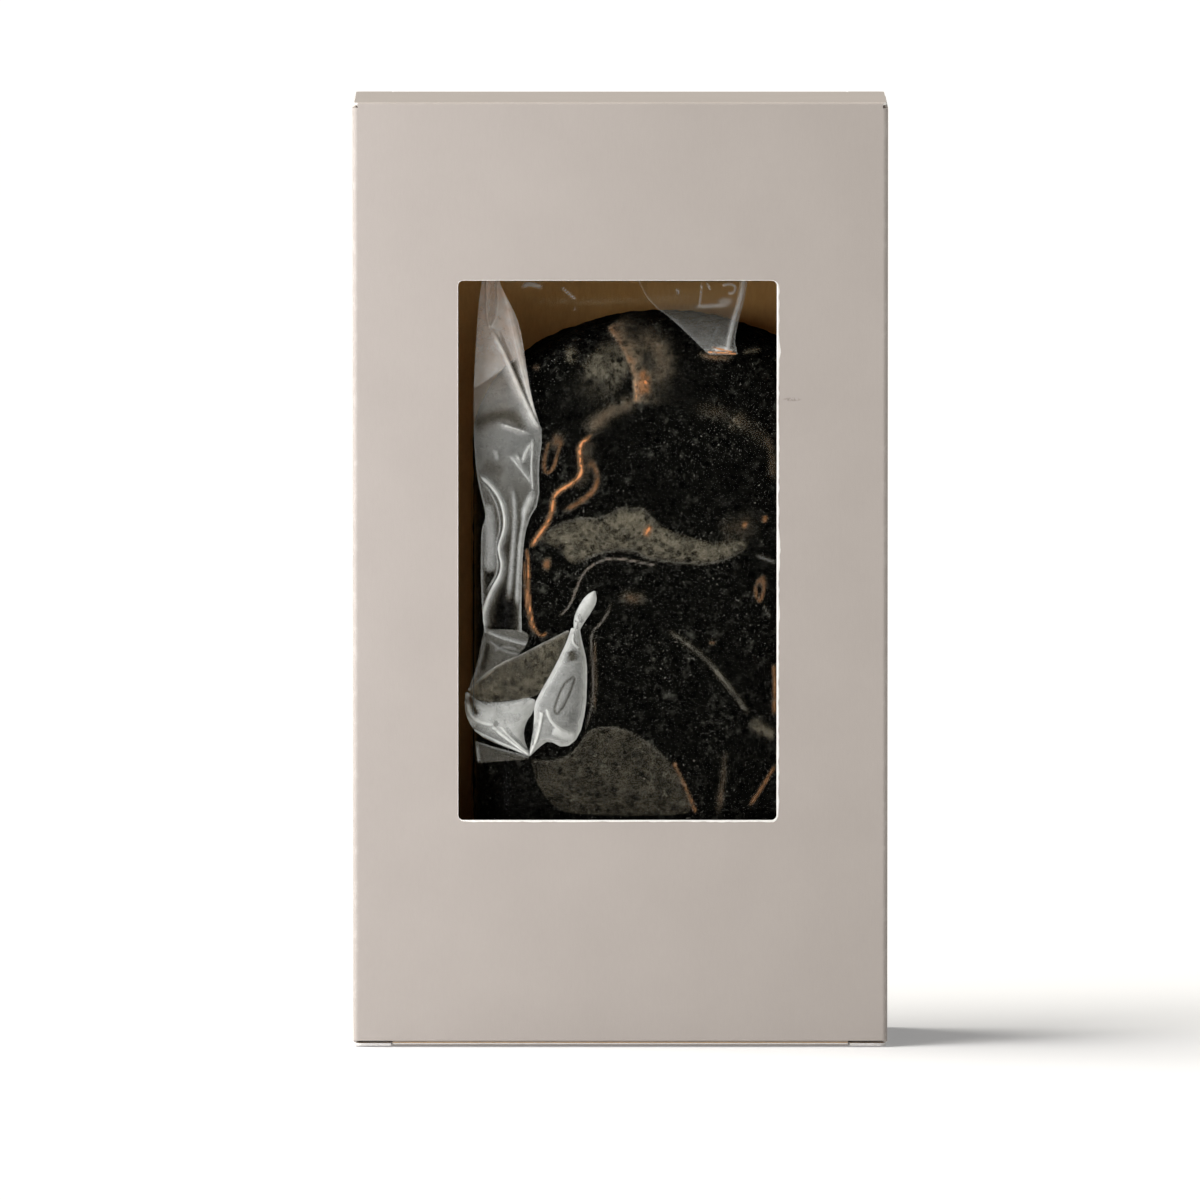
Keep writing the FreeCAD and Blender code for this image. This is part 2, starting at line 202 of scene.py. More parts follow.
def new_material(name: str, **inputs: Value) -> tuple[Material, Tree, Node]:
    """A material with one Principled shader on its output.

    Args:
        name: the material's name.
        inputs: the shader's plain values, as in Tree.add.

    Returns:
        The material, its tree and its Principled node.
    """
    material = bpy.data.materials.new(name)
    material.use_nodes = True
    material.node_tree.nodes.clear()
    tree = Tree(material.node_tree)
    shader = tree.add("ShaderNodeBsdfPrincipled", **inputs)
    tree.add("ShaderNodeOutputMaterial", Surface=shader.outputs[0])
    return material, tree, shader


def new_group(name: str, given: Sequence[str], made: Sequence[str]) -> tuple[Tree, Node, Node]:
    """An empty shader node group.

    Args:
        name: the group's name.
        given: its inputs, all plain values but Place.
        made: its outputs, all plain values.

    Returns:
        A Tree for the group, its input node and its output node.
    """
    nodes = Tree(bpy.data.node_groups.new(name, "ShaderNodeTree"))
    for way, labels in (("INPUT", given), ("OUTPUT", made)):
        for label in labels:
            kind = "NodeSocketVector" if label == "Place" else "NodeSocketFloat"
            nodes.tree.interface.new_socket(name=label, in_out=way, socket_type=kind)
    return nodes, nodes.add("NodeGroupInput"), nodes.add("NodeGroupOutput")


def paper_group() -> NodeTree:
    """The felted fibre of board: a fine grain, short fibres and a broad cloudiness.

    Returns:
        The group, with a Tone from 0 to 1 and a Height for a bump.
    """
    nodes, given, out = new_group("paper_fibre", ("Place", "Grain"), ("Tone", "Height"))
    place = given.outputs["Place"]
    fine = nodes.noise(place, 5200.0, 3.0, 0.6)
    stretched = nodes.add("ShaderNodeMapping", Vector=place, Scale=(1.0, 1.0, 0.28))
    fibre = nodes.noise(stretched.outputs[0], 2400.0, 2.0, 0.55)
    cloud = nodes.noise(place, 62.0, 3.0, 0.5)
    height = nodes.math("ADD", fine, fibre)
    grain = nodes.math("SUBTRACT", nodes.math("MULTIPLY", height, 0.5), 0.5)
    grain = nodes.math("MULTIPLY", grain, given.outputs["Grain"])
    cloudy = nodes.math("MULTIPLY", nodes.math("SUBTRACT", cloud, 0.5), 0.7)
    nodes.fill(out, Tone=nodes.math("ADD", grain, cloudy, 0.5, clamp=True), Height=height)
    return nodes.tree


def pore_group() -> NodeTree:
    """The open cells of the sponge, as they look from outside and through the film.

    Returns:
        The group, with a Pore mask, a Speck mask and a Height for a bump.
    """
    nodes, given, out = new_group("sponge_pores", ("Place",), ("Pore", "Speck", "Height"))
    place = given.outputs["Place"]
    warp = nodes.add("ShaderNodeTexNoise", Vector=place, Scale=900.0, Detail=2.0)
    bend = nodes.add("ShaderNodeVectorMath", ("operation", "SCALE"), Vector=warp.outputs["Color"], Scale=0.0006)
    shift = nodes.add("ShaderNodeVectorMath", ("operation", "ADD"))
    nodes.feed(shift.inputs[0], place)
    nodes.feed(shift.inputs[1], bend.outputs[0])
    small, large = (
        nodes.ramp(
            nodes.add("ShaderNodeTexVoronoi", Vector=shift.outputs[0], Scale=scale).outputs["Distance"],
            *walls,
            (1.0, 0.0),
        )
        for scale, walls in ((980.0, (0.20, 0.46)), (360.0, (0.14, 0.30)))
    )
    pore = nodes.math("MAXIMUM", nodes.math("MULTIPLY", small, 0.75), large)
    rough = nodes.noise(place, 1500.0, 4.0, 0.65)
    glint = nodes.noise(place, 2700.0, 2.0, 0.6)
    nodes.fill(out, Pore=pore, Speck=nodes.ramp(glint, 0.64, 0.74), Height=nodes.math("SUBTRACT", rough, pore))
    return nodes.tree


@dataclass(frozen=True)
class BoardFinish:
    """One face of the carton board. Places on it are in metres from the carton's middle and base."""

    name: str
    dark: Colour
    light: Colour
    grain: float
    roughness: float
    bump: float
    scuffed: bool = False
    sheen: float = 0.06
    relief: float = 0.00004
    worn: Colour = (0.74, 0.71, 0.67)
    stain: Colour = (0.16, 0.14, 0.12)
    fold_x: Pair = (0.0461, 0.0474)
    fold_y: Pair = (0.0181, 0.0189)
    front: Pair = (-0.019, -0.0186)
    mark_at: Pair = (0.0305, 0.1153)
    mark_half: Pair = (0.0019, 0.0004)

    def material(self, paper: NodeTree) -> Material:
        """Builds the face's material.

        Args:
            paper: the shared fibre group.

        Returns:
            The material.
        """
        material, tree, shader = new_material(self.name, Specular_IOR_Level=0.35)
        place = tree.place()
        fibre = tree.group(paper, Place=place, Grain=self.grain).outputs
        tone = tree.mix(fibre["Tone"], self.dark, self.light)
        if self.scuffed:
            tone = self.scuff(tree, place, tone)
        rough = (self.roughness + self.sheen, self.roughness - self.sheen)
        tree.fill(shader, Base_Color=tone, Roughness=tree.ramp(fibre["Tone"], 0.2, 0.8, rough))
        tree.fill(shader, Normal=tree.bump(fibre["Height"], self.bump, self.relief))
        return material

    def scuff(self, tree: Tree, place: NodeSocket, tone: NodeSocket) -> NodeSocket:
        """Rubs the print: pale wear along the folds and one small mark beside the window.

        Args:
            tree: the material's tree.
            place: the point's place on the piece.
            tone: the print's colour so far.

        Returns:
            The worn colour's socket.
        """
        x, y, z = tree.add("ShaderNodeSeparateXYZ", Vector=place).outputs
        side = tree.ramp(tree.math("ABSOLUTE", x), *self.fold_x)
        face = tree.ramp(tree.math("ABSOLUTE", y), *self.fold_y)
        patchy = tree.ramp(tree.noise(place, 420.0, 4.0, 0.7), 0.48, 0.66)
        tone = tree.mix(tree.math("MULTIPLY", side, face, patchy, 0.2), tone, self.worn)
        across, up = (
            tree.math("DIVIDE", tree.math("SUBTRACT", way, middle), half)
            for way, middle, half in zip((x, z), self.mark_at, self.mark_half)
        )
        far = tree.math("ADD", tree.math("MULTIPLY", across, across), tree.math("MULTIPLY", up, up))
        near = tree.ramp(far, 0.1, 1.0, (0.55, 0.0))
        broken = tree.ramp(tree.noise(place, 1900.0, 3.0), 0.38, 0.6)
        mark = tree.math("MULTIPLY", near, tree.ramp(y, *self.front, (1.0, 0.0)), broken)
        return tree.mix(mark, tone, self.stain)


BOARD_FINISHES = (
    BoardFinish("printed_board", (0.368, 0.331, 0.303), (0.424, 0.383, 0.352), 0.5, 0.72, 0.35, scuffed=True),
    BoardFinish("kraft_board", (0.48, 0.262, 0.080), (0.67, 0.395, 0.142), 1.3, 0.82, 0.5),
    BoardFinish("cut_board", (0.72, 0.70, 0.66), (0.90, 0.885, 0.86), 1.6, 0.9, 0.6),
)


@dataclass(frozen=True)
class SpongeFinish:
    """Dry charcoal sponge: near black, open celled, with pale fibre ends, and its open cells painted darker as
    painted shade.
    """

    name: str = "charcoal_sponge"
    deep: Colour = (0.0003, 0.0003, 0.0002)
    body: Colour = (0.0022, 0.0022, 0.0017)
    ash: Colour = (0.050, 0.0505, 0.0405)
    fibre: Colour = (0.38, 0.372, 0.33)
    fibre_share: float = 0.52
    relief: float = 0.0004

    def material(self, pores: NodeTree) -> Material:
        """Builds the sponge's material.

        Args:
            pores: the shared group of open cells.

        Returns:
            The material.
        """
        material, tree, shader = new_material(self.name, Roughness=1.0, Specular_IOR_Level=0.02)
        place = tree.place()
        cells = tree.group(pores, Place=place).outputs
        cloud = tree.ramp(tree.noise(place, 110.0, 3.0, 0.6), 0.35, 0.70, (0.25, 1.0))
        torn = tree.ramp(tree.noise(place, 460.0, 6.0, 0.74), 0.50, 0.72)
        tone = tree.mix(tree.math("MULTIPLY", torn, cloud), self.body, self.ash)
        # The open cells painted darker: painted shade in the holes.
        tone = tree.mix(cells["Pore"], tone, self.deep)
        tone = tree.mix(tree.math("MULTIPLY", cells["Speck"], cloud, self.fibre_share), tone, self.fibre)
        tree.fill(shader, Base_Color=tone, Normal=tree.bump(cells["Height"], 0.9, self.relief))
        return material


@dataclass(frozen=True)
class FilmFinish:
    """Thin clear bag film: glossy, whitened where it is creased, with painted highlights on its lit folds, painted
    amber and grey reflections, and a hazy painted reflection where it clings.
    """

    name: str = "clear_film"
    gloss: float = 0.07
    # Strength of the haze where the film clings, a painted reflection.
    cling_reflection: float = 0.096
    # Share of the whitening, which is partly painted highlight.
    whitening: float = 0.9
    mirror: float = 0.0009
    grazing: float = 0.92
    relief: float = 0.0006
    haze: Colour = (0.78, 0.795, 0.755)
    # Colour of the painted amber reflection of the kraft inside.
    amber_reflection: Colour = (0.62, 0.275, 0.10)
    # Tint of the clinging haze, a painted reflection.
    cling_reflection_tint: Colour = (0.63, 0.56, 0.385)

    def material(self, pores: NodeTree) -> Material:
        """Builds the film's material: haze, painted highlights and painted reflections by the marks on the mesh,
        under a clear gloss.

        Args:
            pores: the shared group of open cells, which print through where the film clings.

        Returns:
            The material.
        """
        material, tree, shader = new_material(self.name, Roughness=0.30)
        surface = shader.outputs[0].links[0].to_socket
        place = tree.place()
        pore = tree.group(pores, Place=place).outputs["Pore"]
        crease, amber_reflection, grey_reflection, held = (tree.attribute(name) for name in MARKS)
        mottle = tree.ramp(tree.noise(place, 620.0, 5.0, 0.70), 0.38, 0.62, (0.5, 1.5))
        through = tree.math("MULTIPLY", mottle, tree.ramp(pore, 0.0, 1.0, (1.0, 0.22)))
        # Haze where the film clings: a painted reflection of the soft light.
        inside, closeness = tree.ramp(held, 0.42, 0.50), tree.ramp(held, 0.5, 1.0, (0.45, 1.3))
        cling_reflection = tree.math("MULTIPLY", inside, closeness, self.cling_reflection, through)
        wisp = tree.ramp(tree.noise(place, 420.0, 4.0, 0.62), 0.30, 0.66, (0.45, 1.2))
        wisp = tree.math("MULTIPLY", wisp, tree.ramp(pore, 0.0, 1.0, (1.0, 0.55)))
        # Painted amber reflection of the kraft inside.
        amber_reflection = tree.math("MULTIPLY", amber_reflection, wisp)
        # Painted grey reflection of the soft light.
        grey_reflection = tree.math("MULTIPLY", grey_reflection, through, wisp)
        streak = tree.ramp(tree.noise(place, 700.0, 3.0, 0.6), 0.25, 0.75, (0.82, 1.08))
        # Whitening: partly real crease whitening, partly painted highlight on lit folds.
        white_highlight_shade = tree.math("MULTIPLY", crease, self.whitening, streak)
        tone = tree.mix(tree.math("MULTIPLY", crease, 8.0, clamp=True), self.cling_reflection_tint, self.haze)
        tone = tree.mix(tree.math("MULTIPLY", amber_reflection, 6.0, clamp=True), tone, self.amber_reflection)
        tree.fill(shader, Base_Color=tone, Alpha=tree.math("ADD", white_highlight_shade, cling_reflection, amber_reflection, grey_reflection, clamp=True))
        tree.fill(shader, Normal=tree.bump(tree.noise(place, 330.0, 3.0, 0.5), 0.6, self.relief))
        facing = tree.add("ShaderNodeLayerWeight", Blend=0.5).outputs["Facing"]
        fresnel = tree.math("MULTIPLY", tree.math("POWER", facing, 5.0), self.grazing)
        fresnel = tree.math("ADD", fresnel, self.mirror, clamp=True)
        gloss = tree.add("ShaderNodeBsdfGlossy", Color=(1.0, 1.0, 1.0), Roughness=self.gloss)
        whole = tree.add("ShaderNodeMixShader")
        for socket, value in zip(whole.inputs, (fresnel, shader.outputs[0], gloss.outputs[0])):
            tree.feed(socket, value)
        tree.feed(surface, whole.outputs[0])
        return material


def new_object(name: str, data: ID) -> Object:
    """A new object in the scene.

    Args:
        name: its name.
        data: its mesh, light or camera.

    Returns:
        The object.
    """
    item = bpy.data.objects.new(name, data)
    bpy.context.scene.collection.objects.link(item)
    return item


def new_piece(name: str, points: Array, faces: Array) -> Object:
    """A smooth-shaded mesh piece.

    Args:
        name: the piece's name.
        points: its points in metres, one row each.
        faces: the point numbers of its faces, one row each.

    Returns:
        The new object, linked to the scene.
    """
    mesh = bpy.data.meshes.new(name)
    mesh.from_pydata(points.tolist(), [], faces.tolist())
    mesh.validate()
    mesh.shade_smooth()
    return new_object(name, mesh)


def keep_marks(piece: Object, marks: dict[str, Array]) -> None:
    """Keeps a film's marks on its points for the material.

    Args:
        piece: the film.
        marks: values by the mark's name, with none for a mark that is 0 all over.
    """
    for name in MARKS:
        layer = piece.data.attributes.new(name, "FLOAT", "POINT")
        if name in marks:
            layer.data.foreach_set("value", np.asarray(marks[name], np.float32).ravel())


def apply_modifiers(piece: Object) -> None:
    """Turns a piece's modifiers into plain mesh.

    Args:
        piece: the piece.
    """
    graph = bpy.context.evaluated_depsgraph_get()
    mesh = bpy.data.meshes.new_from_object(piece.evaluated_get(graph))
    piece.modifiers.clear()
    old = piece.data
    piece.data = mesh
    bpy.data.meshes.remove(old)


def metres(x: Array, y: Array, z: Array) -> Array:
    """Points in metres, one row each, from places in millimetres."""
    return np.stack([x, y, z], axis=-1).reshape(-1, 3) * MM


def between(ends: Pair, share: Array) -> Array:
    """Values that go from one end to the other as a share goes from 0 to 1."""
    return ends[0] * (1.0 - share) + ends[1] * share


def leaning(low: float, high: float, reach: float, power: float = 1.0) -> Lean:
    """How far back film leans at a height, 0 up to low and its whole reach from high on."""
    return lambda z: np.clip((z - low) / (high - low), 0.0, 1.0) ** power * reach


def grid_faces(rows: int, columns: int, closed: bool = False) -> Array:
    """Quads of a grid of points numbered row by row.

    Args:
        rows: how many rows of points.
        columns: how many points in a row.
        closed: joins each row's end to its start.

    Returns:
        The point numbers of each quad, one row each.
    """
    index = np.arange(rows * columns).reshape(rows, columns)
    if closed:
        index = np.hstack([index, index[:, :1]])
    corners = (index[:-1, :-1], index[:-1, 1:], index[1:, 1:], index[1:, :-1])
    return np.stack(corners, axis=-1).reshape(-1, 4)


def nearest_on_path(x: Array, z: Array, path: Path) -> tuple[Array, Array, Array]:
    """Where points lie beside a line of straight stretches.

    Args:
        x: the points' places across.
        z: the points' places up.
        path: the line's points.

    Returns:
        The distances, 1 on the line's left and -1 on its right, and how far along it from 0 to 1.
    """
    best, side, along = np.full(x.shape, np.inf), np.zeros(x.shape), np.zeros(x.shape)
    run = 0.0
    for (ax, az), (bx, bz) in zip(path[:-1], path[1:]):
        dx, dz = bx - ax, bz - az
        length = math.hypot(dx, dz)
        share = np.clip(((x - ax) * dx + (z - az) * dz) / max(length**2, TINY), 0.0, 1.0)
        far = np.hypot(x - ax - share * dx, z - az - share * dz)
        nearer = far < best
        best = np.where(nearer, far, best)
        side = np.where(nearer, np.sign(dx * (z - az) - dz * (x - ax)), side)
        along = np.where(nearer, run + share * length, along)
        run += length
    return best, side, along / max(run, TINY)


def distance_inside(x: Array, z: Array, outline: Path) -> Array:
    """How far points lie inside a closed outline, less than 0 outside it.

    Args:
        x: the points' places across.
        z: the points' places up.
        outline: the outline's corners in order.

    Returns:
        The signed distances.
    """
    inside = np.zeros(x.shape, bool)
    closed = [*outline, outline[0]]
    for (ax, az), (bx, bz) in zip(closed[:-1], closed[1:]):
        crosses = (az > z) != (bz > z)
        slope = (bx - ax) / (bz - az) if bz != az else 0.0
        inside ^= crosses & (x < ax + (z - az) * slope)
    return np.where(inside, 1.0, -1.0) * nearest_on_path(x, z, closed)[0]


def rounded(path: Path, passes: int = 2) -> list[Pair]:
    """A line with its corners cut again and again, so that it runs in a soft curve.

    Args:
        path: the line's points.
        passes: how often its corners are cut.

    Returns:
        The softer line's points.
    """
    line = list(path)
    for _ in range(passes):
        soft = [line[0]]
        for (ax, az), (bx, bz) in zip(line[:-1], line[1:]):
            soft.append((0.75 * ax + 0.25 * bx, 0.75 * az + 0.25 * bz))
            soft.append((0.25 * ax + 0.75 * bx, 0.25 * az + 0.75 * bz))
        line = [*soft, line[-1]]
    return line


def walk(path: Path, count: int) -> Array:
    """Points evenly spaced along a line.

    Args:
        path: the line's own points.
        count: how many points to return.

    Returns:
        One row for each point.
    """
    line = np.array(path)
    run = np.concatenate([[0.0], np.cumsum(np.hypot(*np.diff(line, axis=0).T))])
    along = np.linspace(0.0, run[-1], count)
    return np.stack([np.interp(along, run, line[:, 0]), np.interp(along, run, line[:, 1])], axis=-1)


@dataclass(frozen=True)
class Crease:
    """One crease of the film, along a line in millimetres from the window's lower left corner.

    On the line it whitens, partly as real crease whitening and partly as painted highlight, and carries painted
    amber and grey reflections, by those shares. A whiteness of less than 0 darkens a leaf as painted shade.
    """

    path: Path
    width: float = 0.35
    lift: float = 0.12
    # Whitening along the line, partly painted highlight; below 0 it is painted shade.
    white_highlight_shade: float = 0.0
    # Painted amber reflection of the kraft inside.
    amber_reflection: float = 0.0
    # Painted grey reflection of the soft light.
    grey_reflection: float = 0.0
    soft: float = 0.0
    taper: float = 0.1

    def line(self, across: Array, up: Array) -> Array:
        """How near points of the film lie to the crease.

        A crease with a soft side falls off slowly on the left of its line.

        Args:
            across: the points' places across the window.
            up: the points' places above its lower edge.

        Returns:
            From 1 on the crease down to 0 beside it.
        """
        far, side, along = nearest_on_path(across, up, rounded(self.path))
        line = np.exp(-((far / self.width) ** 2))
        if self.soft > 0.0:
            line = np.where(side > 0.0, np.exp(-far / self.soft), line)
        if self.taper > 0.0:
            line *= np.clip(along / self.taper, 0.0, 1.0) * np.clip((1.0 - along) / self.taper, 0.0, 1.0)
        return line


@dataclass(frozen=True)
class Leaf:
    """A flap of doubled film between two edges, in millimetres from the window's lower left corner.

    Lift, core and the amber reflection go from the edges' start to their end, and rim from the first edge to the
    second. Core and rim whiten the film, partly as real haze of the doubled film and partly as painted highlight on
    its lit lobes and folded edges.
    """

    first: Path
    second: Path
    lift: Pair = (0.5, 0.5)
    bulge: float = 0.5
    # Core and rim whiten the leaf, partly as haze of the doubled film and partly as painted highlight.
    core: Pair = (0.1, 0.1)
    rim: Pair = (0.4, 0.4)
    rim_width: float = 0.5
    # Haze where the leaf lies flat, a painted reflection.
    cling_reflection: float = 0.0
    creases: tuple[Crease, ...] = ()
    rows: int = 80
    columns: int = 26
    # Painted amber reflection of the kraft inside, from the edges' start to their end.
    amber_reflection_ends: Pair = (0.0, 0.0)


@dataclass(frozen=True)
class Window:
    """The carton's window in millimetres.

    Places on the film are counted from left and base. Foot is the lower edge, and face the board's front.
    """

    left: float = -28.85
    base: float = 39.9
    width: float = 56.7
    height: float = 96.2
    foot: float = 40.3
    corner: float = 1.0
    face: float = -19.0


@dataclass
class Carton:
    """The board carton: sleeve, lids, tuck flaps and dust flaps, all from the solids."""

    fold_reach: float = 18.0
    flat_least: float = 0.3
    end_least: float = 0.7
    round_least: float = 0.1
    lip_least: float = 0.03
    lip_most: float = 0.32
    lip_step: float = 0.4
    # Way toward which the lip widens, the edges that face the light: a painted highlight.
    lip_highlight_way: Pair = (1.0, -0.75)
    lip_torn: float = 0.5
    lip_nick: float = 2.2
    nick_least: float = 0.32

    def __post_init__(self) -> None:
        """Mixes the three finishes of the board."""
        paper = paper_group()
        self.materials = [finish.material(paper) for finish in BOARD_FINISHES]

    def dress(self) -> None:
        """Gives every board solid its print, kraft and cut faces."""
        rules: dict[str, Rule] = {
            "front_panel": self.flat_rule(0, -1, 0),
            "back_panel": self.flat_rule(0, 1, 0),
            "left_side_panel": partial(self.side_face, -1.0),
            "right_side_panel": partial(self.side_face, 1.0),
            "glue_flap": self.flat_rule(-1, 0, 0),
        }
        for end, sign in (("top", 1.0), ("bottom", -1.0)):
            rules[f"{end}_lid"] = self.flat_rule(0, 0, sign)
            rules[f"{end}_tuck_flap"] = self.flat_rule(0, sign, 0)
            for side in ("left", "right"):
                rules[f"{end}_dust_flap_{side}"] = self.flat_rule(0, 0, sign)
        for node, rule in rules.items():
            self.paint(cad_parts[node], rule)
            LOG.info("board %s", node)

    def window_edge(self, window: Window) -> None:
        """The pale lip of torn fibre that the die left round the window, widest at its right and foot, which face
        the light: that extra width is a painted highlight on the lit cut edge.

        Args:
            window: the window's place and size.
        """
        place, way = self.window_outline(window)
        torn, nick = (
            np.array([noise.noise(Vector((x * scale, seed, z * scale))) for x, z in place])
            for scale, seed in ((0.9, 2.5), (0.21, 7.5))
        )
        uneven = 1.0 + self.lip_torn * torn + self.lip_nick * np.clip(nick - self.nick_least, 0.0, 1.0)
        # Wider where the edge faces the light: a painted highlight on the lit cut edge.
        wide = self.lip_least + self.lip_most * np.clip(way @ np.array(self.lip_highlight_way), 0.0, 1.0) * uneven
        section = (
            (1.0, 0.0, 0.005), (0.7, 0.0, -0.03), (0.2, 0.0, -0.05),
            (0.0, -0.04, -0.02), (0.0, -0.08, 0.2), (0.0, -0.06, 0.45),
        )
        share, inward, depth = np.array(section).T[:, :, None]
        reach = wide * share + inward
        x, z = (place[:, i] + way[:, i] * reach for i in (0, 1))
        points = metres(x, np.broadcast_to(window.face + depth, x.shape), z)
        piece = new_piece("window_lip", points, grid_faces(len(section), len(place), closed=True))
        piece.data.materials.append(self.materials[BoardFace.CUT.value])
        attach(piece, "sleeve")

    def window_outline(self, window: Window) -> tuple[Array, Array]:
        """Points once round the window's edge.

        Args:
            window: the window's place and size.

        Returns:
            Their places across and up, and the way out from the window at each.
        """
        low, high = window.left + window.corner, window.left + window.width - window.corner
        foot, head = window.foot + window.corner, window.foot + window.height - window.corner
        places, ways = [], []
        corners = ((high, foot, -90.0), (high, head, 0.0), (low, head, 90.0), (low, foot, 180.0))
        for (x, z, start), (nx, nz, _) in zip(corners, corners[1:] + corners[:1]):
            for turn in np.radians(np.linspace(start, start + 90.0, 9)):
                ways.append((math.cos(turn), math.sin(turn)))
                places.append((x + window.corner * ways[-1][0], z + window.corner * ways[-1][1]))
            last = places[-1]
            length = math.hypot(nx - x, nz - z)
            for share in np.arange(self.lip_step, length, self.lip_step) / length:
                places.append((last[0] + (nx - x) * share, last[1] + (nz - z) * share))
                ways.append(ways[-1])
        return np.array(places), np.array(ways)

    def paint(self, piece: Object, rule: Rule) -> None:
        """Sorts a piece's faces into the three finishes.

        Args:
            piece: the board solid.
            rule: tells a face's finish from its middle and its normal.
        """
        piece.data.materials.clear()
        for material in self.materials:
            piece.data.materials.append(material)
        for face in piece.data.polygons:
            face.material_index = rule(face.center, face.normal).value

    def flat_rule(self, *outside: float) -> Rule:
        """A rule for a flat panel whose print looks that way."""
        return partial(self.flat_face, Vector(outside))

    def flat_face(self, outside: Vector, _: Vector, normal: Vector) -> BoardFace:
        """The look of a flat panel's face: print outside, kraft inside, cut edges between.

        Args:
            outside: the way that the print looks.
            _: the face's middle.
            normal: the face's normal.

        Returns:
            The look.
        """
        facing = normal.dot(outside)
        if abs(facing) <= self.flat_least:
            return BoardFace.CUT
        return BoardFace.PRINT if facing > 0.0 else BoardFace.KRAFT

    def side_face(self, side: float, middle: Vector, normal: Vector) -> BoardFace:
        """The look of a side panel's face: print also round the corners, kraft inside, cut ends.

        Args:
            side: 1 for the right panel, -1 for the left one.
            middle: the face's middle.
            normal: the face's normal.

        Returns:
            The look.
        """
        if abs(normal.z) > self.end_least:
            return BoardFace.CUT
        corner = abs(middle.y) > self.fold_reach * MM
        round_out = corner and normal.y * middle.y > 0.0
        return BoardFace.PRINT if normal.x * side > self.round_least or round_out else BoardFace.KRAFT


@dataclass
class SpongeForm:
    """The sponge's place and form in millimetres, as the carton leaves it room."""

    across: float = 8.2
    middle: float = 1.5
    half_width: float = 34.3
    half_thick: float = 14.5
    base: float = 2.0
    arch_base: float = 106.9
    rise: float = 24.7
    shoulder: float = 20.0
    rim: float = 9.5

    def depth_inside(self, x: Array, z: Array) -> Array:
        """How far points lie inside the sponge's outline.

        Args:
            x: places across the carton.
            z: places above its base.

        Returns:
            The distances in millimetres, less than 0 outside.
        """
        dx = np.abs(x - self.across)
        ratio = np.hypot(dx / self.half_width, (z - self.arch_base) / self.rise)
        slope = np.hypot(dx / self.half_width**2, (z - self.arch_base) / self.rise**2)
        arch = (1.0 - ratio) * np.maximum(ratio, 0.15) / np.maximum(slope, 1e-3)
        wall = self.half_width - dx
        corner_x = dx - (self.half_width - self.shoulder)
        corner_z = self.base + self.shoulder - z
        corner = self.shoulder - np.hypot(corner_x, corner_z)
        low = np.where((corner_x > 0) & (corner_z > 0), corner, np.minimum(wall, z - self.base))
        return np.where(z > self.arch_base, np.minimum(arch, self.half_width), np.minimum(wall, low))

    def half_depth(self, inside: Array) -> Array:
        """The sponge's half thickness at points that far inside its outline."""
        part = np.clip(inside, 0.0, self.rim)
        return self.half_thick - self.rim + np.sqrt(self.rim**2 - (self.rim - part) ** 2)


@dataclass
class Sponge:
    """The black sponge: a rounded slab with torn, open cells. Sizes in millimetres."""

    form: SpongeForm
    voxel: float = 0.95
    front_most: float = -0.6
    lump: float = 0.42
    lump_scale: float = 0.09
    tear: float = 0.35
    tear_scale: float = 0.42
    pit: float = 0.55
    pit_scale: float = 0.62
    pit_reach: float = 0.42
    out_most: float = 0.25
    sag: float = 1.9
    lean: float = 1.2

    def build(self, material: Material) -> None:
        """Makes the sponge from its solid and roughens it.

        Args:
            material: the sponge's finish.
        """
        piece = new_object("sponge_body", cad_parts["sponge"].data.copy())
        remesh = piece.modifiers.new("even", "REMESH")
        remesh.mode = "VOXEL"
        remesh.voxel_size = self.voxel * MM
        apply_modifiers(piece)
        self.refine_front(piece)
        self.roughen(piece)
        piece.data.shade_smooth()
        piece.data.materials.clear()
        piece.data.materials.append(material)
        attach(piece, PACK)
        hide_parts("sponge")
        LOG.info("sponge of %d faces", len(piece.data.polygons))

    def refine_front(self, piece: Object) -> None:
        """Halves the faces that look towards the window.

        Args:
            piece: the sponge.
        """
        work = bmesh.new()
        work.from_mesh(piece.data)
        work.normal_update()
        edges = {e for f in work.faces if f.normal.y < self.front_most for e in f.edges}
        bmesh.ops.subdivide_edges(work, edges=list(edges), cuts=1, use_grid_fill=True)
        bmesh.ops.triangulate(work, faces=[f for f in work.faces if len(f.verts) > 4])
        work.to_mesh(piece.data)
        work.free()

    def roughen(self, piece: Object) -> None:
        """Moves the surface in and out, lumps, torn cells and pits, and lets the soft top sag.

        Args:
            piece: the sponge.
        """
        places, normals = np.zeros((2, len(piece.data.vertices) * 3))
        piece.data.vertices.foreach_get("co", places)
        piece.data.vertex_normals.foreach_get("vector", normals)
        places = places.reshape(-1, 3)
        moves = np.array([self.move_at(Vector(place / MM)) for place in places])
        places += normals.reshape(-1, 3) * moves[:, None] * MM
        arch = np.clip((places[:, 2] / MM - self.form.arch_base) / self.form.rise, 0.0, 1.0)
        right = np.clip((places[:, 0] / MM - self.form.across) / self.form.half_width, 0.0, 1.0)
        places[:, 2] -= arch * (self.sag + self.lean * right) * MM
        piece.data.vertices.foreach_set("co", places.ravel())
        piece.data.update()

    def move_at(self, place: Vector) -> float:
        """How far the surface moves out at one place.

        Args:
            place: the place in millimetres.

        Returns:
            The move in millimetres, less than 0 into the sponge.
        """
        broad = noise.noise(place * self.lump_scale)
        torn = noise.turbulence(place * self.tear_scale, 3, False, noise_basis="PERLIN_ORIGINAL")
        near = noise.voronoi(place * self.pit_scale)[0][0]
        pit = max(0.0, self.pit_reach - near) / self.pit_reach
        return min(self.lump * broad - self.tear * torn - self.pit * pit, self.out_most)


